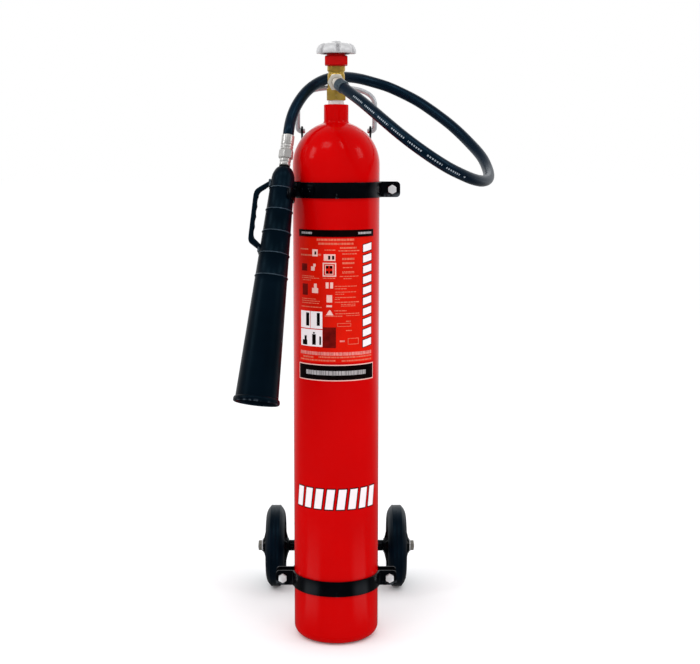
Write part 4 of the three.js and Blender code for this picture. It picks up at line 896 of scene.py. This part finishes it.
dress("upper_clamp_front", "bent", band(**UPPER), BLACK)
lug = slab([(-8, -106), (8, -106)] + arc_of(0, 0, 8, 0, 180, 20), 3)
eye = ring([(4.6, -0.35), (6.6, -0.35), (6.6, 0), (4.6, 0)], 0.1, 40)
lugs = []
for x in (54.5, -57.5):
    lugs.append(moved(lug, upright(x, PIVOT_Y, PIVOT_Z)))
    lugs += [moved(eye, at(face, PIVOT_Y, PIVOT_Z) @ ALONG_X) for face in (x + 3.35, x)]
dress("upper_clamp_rear", "bent", merged(rear_band(**UPPER), *lugs), BLACK)
dress("lower_clamp_front", "bent", band(**LOWER), BLACK)
collar = ring([(10.2, -0.9), (12.6, -0.5), (13, 0), (10.2, 0)], 0.3, 48)
arms = []
for x in (50, -55):  # welded to the back of the band
    y = sqrt(72 ** 2 - 52.5 ** 2)
    outline = [(y, 85)] + arc_of(AXLE_Y, AXLE_Z, 16, -75, 80, 28) + [(y, 110)]
    arms += [moved(slab(closed_rounded(outline, 0.6, 2), 5, 0.6), upright(x)),
             moved(collar, at(x, AXLE_Y, AXLE_Z) @ ALONG_X),
             moved(collar, at(x + 5, AXLE_Y, AXLE_Z) @ ALONG_X @ turn(180, "X"))]
dress("trolley_frame", "welded", merged(rear_band(**LOWER), *arms), BLACK)
for clamp, place, offset in (("upper_clamp", UPPER, 90), ("lower_clamp", LOWER, 89.5)):
    face, z = place["ear_face"], place["z_low"] + BAND_HIGH / 2
    for side, x in (("left", -offset), ("right", offset)):
        dress("%s_bolt_%s" % (clamp, side), "turned", bolt(face, x, z), ZINC)
        dress("%s_nut_%s" % (clamp, side), "cut", nut(face, x, z), ZINC)


# ---------- horn clip
CLIP_TOP, CLIP_HIGH, CLIP_WALL = 36, 18, 2  # its top lies below the throat
CLIP_BORE = horn_radius(CLIP_TOP + CLIP_HIGH) + 0.8
STRAP_IN, STRAP_OUT, STRAP_MIDDLE = 73.6, 75.6, 745
STRAP_FROM, STRAP_TO = 203, 242  # degrees round the cylinder


def spring_section(k):
    """The spring ring's wall, lower towards the first and the last of its 91 sections."""
    trim = max(0, 4 - min(k, 90 - k)) * 0.6
    return box_section(CLIP_BORE, CLIP_BORE + CLIP_WALL, trim - CLIP_TOP - CLIP_HIGH, -CLIP_TOP - trim)


def strap_section(t):
    """The strap riveted over the clamp band, its corners rounded, at a share of its run."""
    end = min(t, 1 - t) * radians(STRAP_TO - STRAP_FROM) * (STRAP_IN + STRAP_OUT) / 2
    trim = 0 if end > 4 else 4 - sqrt(max(0, 16 - (4 - end) ** 2))
    return box_section(STRAP_IN, STRAP_OUT, 736 + trim, 752 - trim)


middle = HORN_FRAME @ Vector((0, 0, -(CLIP_TOP + CLIP_HIGH / 2)))
towards = degrees(atan2(middle.y, middle.x))
sections = []
for t in [k / 6 for k in range(7)]:
    section = []
    for a, b in box_section(-7, 7, -12, 12, 1, 6):
        centre = middle + UP * ((STRAP_MIDDLE + b - middle.z) / UP.z)
        far = hypot(centre.x, centre.y) - CLIP_BORE + 0.4
        swell = 1.6 * (1 - t) ** 2 + 0.6 * t ** 2
        section.append((73.8 + (far - 73.8) * t, a * (6.9 + swell) / 7, STRAP_MIDDLE + b))
    sections.append(section)
bridge = moved(loft(sections), turn(towards, "Z"))
spring = moved(swept([spring_section(k) for k in range(91)], towards + 85, towards + 294), HORN_FRAME)
strap = swept([strap_section(k / 40) for k in range(41)], STRAP_FROM, STRAP_TO)
dress("horn_clip", "sprung", merged(spring, strap, bridge), BLACK)
head = turned([(0, 70.6), (2, 70.6), (2, 75.9), (3.8, 75.9), (3.7, 76.4), (3.1, 77.1), (1.9, 77.45),
               (0, 77.5)], 0.15, 40)
for name, angle in (("outer", 224), ("inner", 236)):
    dress("horn_clip_rivet_" + name, "set", moved(head, at(z=744) @ turn(angle, "Z") @ ALONG_X), BLACK)


# ---------- carry bail
half, leg, rise, corner = 63, 41, 29, 6
pin = half - 12
points = [(-pin - k, 0) for k in range(6)]
points += arc_of(corner - half, corner, corner, 270, 180, 10)
for x, z in arc_of(0, 0, 1, 180, 0, 96):
    points.append((half * copysign(abs(x) ** (1 / 1.2), x), leg + rise * abs(z) ** (1 / 1.2)))
points += arc_of(half - corner, corner, corner, 0, -90, 10)
points += [(pin + 5 - k, 0) for k in range(6)]
path = []
for p in [Vector((x, PIVOT_Y, PIVOT_Z + z)) for x, z in points]:
    if not path or (p - path[-1]).length > 0.3:
        path.append(p)
dress("carry_bail", "bent", tube(path, 4, 28, first=Vector((0, 1, 0)), ends=1), STEEL, "bail", sharp=50)


# ---------- wheels and axle
WHEEL_OUT, HUB_HALF, WASHER = 112, 24, 2  # wheel's middle plane from the axis, thicknesses


def on_axle(x=0, flip=False):
    return at(x, AXLE_Y, AXLE_Z) @ (turn(-90, "Y") if flip else ALONG_X)


def both_sides(half, *middle):
    """A profile, the points between its halves, and its mirror image."""
    return half + list(middle) + [(r, -z) for r, z in reversed(half)]


AXLE_END, THREAD_FROM, TUBE_END = 145.6, 137, 87.7
rod = [(0, -AXLE_END), (4.2, -AXLE_END), (4.9, -AXLE_END + 0.8)]
for z in [k - AXLE_END for k in range(1, 9)]:
    rod += [(4.95, z + 0.25), (4.5, z + 0.75)]
rod += [(5, -THREAD_FROM + 1), (5, THREAD_FROM - 1)]
for z in [k + THREAD_FROM for k in range(8)]:
    rod += [(4.5, z + 0.25), (4.95, z + 0.75)]
rod += [(4.9, AXLE_END - 0.8), (4.2, AXLE_END), (0, AXLE_END)]
dress("axle_rod", "turned", moved(lathe(rod, 40), on_axle()), ZINC)
sleeve = lathe(box_section(5.4, 10, -TUBE_END, TUBE_END, 0.5, 3), 56, closed=True)
dress("axle_tube", "cut", moved(sleeve, on_axle()), BLACK)


def make_wheel(side, sign):
    body = side + "_wheel"
    place = on_axle(sign * WHEEL_OUT, flip=sign < 0)
    # tyre: rounded tread with a raised rib at each shoulder, lipped sidewalls
    half = [(52, 13.5), (53, 15.4), (54.6, 16.9), (56.2, 17.5), (57.8, 17.4), (58.6, 16.8), (59.6, 16.7),
            (60.4, 16.9), (62.6, 16.3), (65, 15.3), (67.4, 14.1), (69.6, 12.7), (71.4, 11.3), (72.6, 10.2),
            (73.1, 9.6), (74, 9.2), (74.9, 8), (75, 6.8), (74.7, 5.8), (74.75, 3), (74.8, 0.35)]
    dress("tyre_" + side, "moulded", moved(lathe(both_sides(half, (74.95, 0)), 160, closed=True), place),
          TYRE, body, sharp=45)
    # hub: boss, web with ribs, rim
    face = rounded([(7.7, HUB_HALF), (12.6, HUB_HALF), (14.6, 22), (16.2, 18), (18, 6.2, 2), (42.5, 5.6, 2),
                    (45.6, 14.5), (51.7, 14.5), (51.7, 0)], 0.7)
    rib = []
    for t in [i / 8 for i in range(9)]:
        top, thick = 22.4 - 7.6 * t, 2 - 0.3 * t
        section = closed_rounded([(-thick, 5), (thick, 5), (thick * 0.8, top), (-thick * 0.8, top)], 0.5, 2)
        rib.append([(14.5 + 32 * t, y, z) for y, z in section])
    ribs = [loft([[(x, y, z * way) for x, y, z in section] for section in rib]) for way in (1, -1)]
    hub = merged(lathe(both_sides(face[:-1]), 112, closed=True),
                 *[moved(rib, turn(60 * k, "Z")) for k in range(6) for rib in ribs])
    dress("wheel_hub_" + side, "moulded", moved(hub, place), HUB, body)
    seat = WHEEL_OUT + HUB_HALF + GAP
    dress("wheel_washer_" + side, "cut",
          moved(lathe(box_section(5.3, 11, 0, WASHER, 0.4, 3), 56, closed=True),
                on_axle(sign * seat, flip=sign < 0)), ZINC)
    dress("axle_nut_" + side, "cut", moved(hexagonal(17, 0, 6, bore=5.3),
                                           on_axle(sign * (seat + WASHER + GAP), flip=sign < 0)), DULL)


make_wheel("left", -1)
make_wheel("right", 1)


# ---------- carried-over nodes
for finish, names in ((ZINC, ("siphon_tube", "burst_disc")), (BRASS, ("valve_plug",)),
                      (NYLON, ("valve_plug_seal", "wheel_bush_left", "wheel_bush_right")),
                      (TAPE, ("gland_packing",))):
    for node in [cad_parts[name] for name in names]:
        if not node.material_slots:
            node.data.materials.append(finish)
        for held in node.material_slots:
            held.link = "OBJECT"
            held.material = finish


# ---------- floor, backdrop and lamps
def make_floor(size=30):
    """A pale floor that fades to white behind, and shows two bright reflectors in gloss only."""
    mesh = bpy.data.meshes.new("floor")
    mesh.from_pydata([(-size, -size, 0), (size, -size, 0), (size, size, 0), (-size, size, 0)], [],
                     [(0, 1, 2, 3)])
    mat = bpy.data.materials.new("pale_floor")
    nodes = Nodes(mat, "OutputMaterial")
    rays = nodes.add("LightPath").outputs
    x, y, _ = nodes.split(nodes.add("NewGeometry").outputs["Position"])
    lit = nodes.add("BsdfDiffuse", {0: (0.92, 0.925, 0.94)}).outputs[0]
    glow = nodes.add("Emission", {1: nodes.times(rays["Is Camera Ray"], 0.05)}).outputs[0]
    depth = nodes.ease(y, 0, 3, 0.1, 0.9)
    # the reflectors lie left and right in front
    x = nodes.calc("SUBTRACT", x, AXIS.x)
    y = nodes.calc("SUBTRACT", y, AXIS.y)
    bearing = nodes.calc("ARCTAN2", nodes.calc("ABSOLUTE", x), nodes.times(y, -1))
    reach = nodes.calc("SQRT", nodes.calc("ADD", nodes.times(x, x), nodes.times(y, y)))
    wedge = nodes.times(nodes.ease(bearing, 0.62, 0.9), nodes.ease(bearing, 1.5, 1.3))
    board = nodes.times(wedge, nodes.times(nodes.ease(reach, 0.85, 0.3), nodes.ease(reach, 0.12, 0.28)))
    mirrored = nodes.add("Emission", {1: nodes.calc("ADD", depth, nodes.times(board, 1.3))})
    both = nodes.add("AddShader", {0: lit, 1: glow}).outputs[0]
    nodes.put(nodes.end, nodes.add("MixShader", {0: rays["Is Glossy Ray"], 1: both,
                                                 2: mirrored.outputs[0]}).outputs[0])
    mesh.materials.append(mat)
    add_object("floor", mesh)


def make_world():
    """White where the camera, metal or glass sees it; softer all round as light."""
    world = bpy.data.worlds.new("studio")
    scene.world = world
    nodes = Nodes(world, "OutputWorld")
    rays = nodes.add("LightPath").outputs
    _, y, _ = nodes.split(nodes.add("TexCoord").outputs["Generated"])
    level = nodes.choose(rays["Is Glossy Ray"], 1.04, nodes.ease(y, 0, 1, 0.12, 0.95))
    level = nodes.choose(rays["Is Transmission Ray"], level, 1)
    level = nodes.choose(rays["Is Camera Ray"], level, 1)
    background = nodes.add("Background", {"Color": (1, 1, 1), "Strength": level})
    nodes.put(nodes.end, background.outputs[0])


def softbox(name, place, aim_z, width, height, power):
    data = bpy.data.lights.new(name, "AREA")
    data.shape = "RECTANGLE"
    data.size, data.size_y = width, height
    data.energy = power
    lamp = add_object(name, data)
    lamp.location = place
    lamp.rotation_euler = (Vector((0, 0, aim_z)) - Vector(place)).to_track_quat("-Z", "Y").to_euler()


make_floor()
make_world()
softbox("left_box", (-1.9, -0.7, 1.8), 0.6, 0.5, 0.9, 6)
softbox("right_box", (1.9, -0.7, 1.8), 0.6, 0.5, 0.9, 5)
softbox("top_left_box", (-0.8, -1.15, 2.5), 0.6, 0.75, 0.6, 5)
softbox("top_right_box", (0.62, -1.15, 2.5), 0.6, 0.5, 0.6, 4)
softbox("back_box", (0.3, 2.2, 2), 0.5, 1.6, 1, 4)
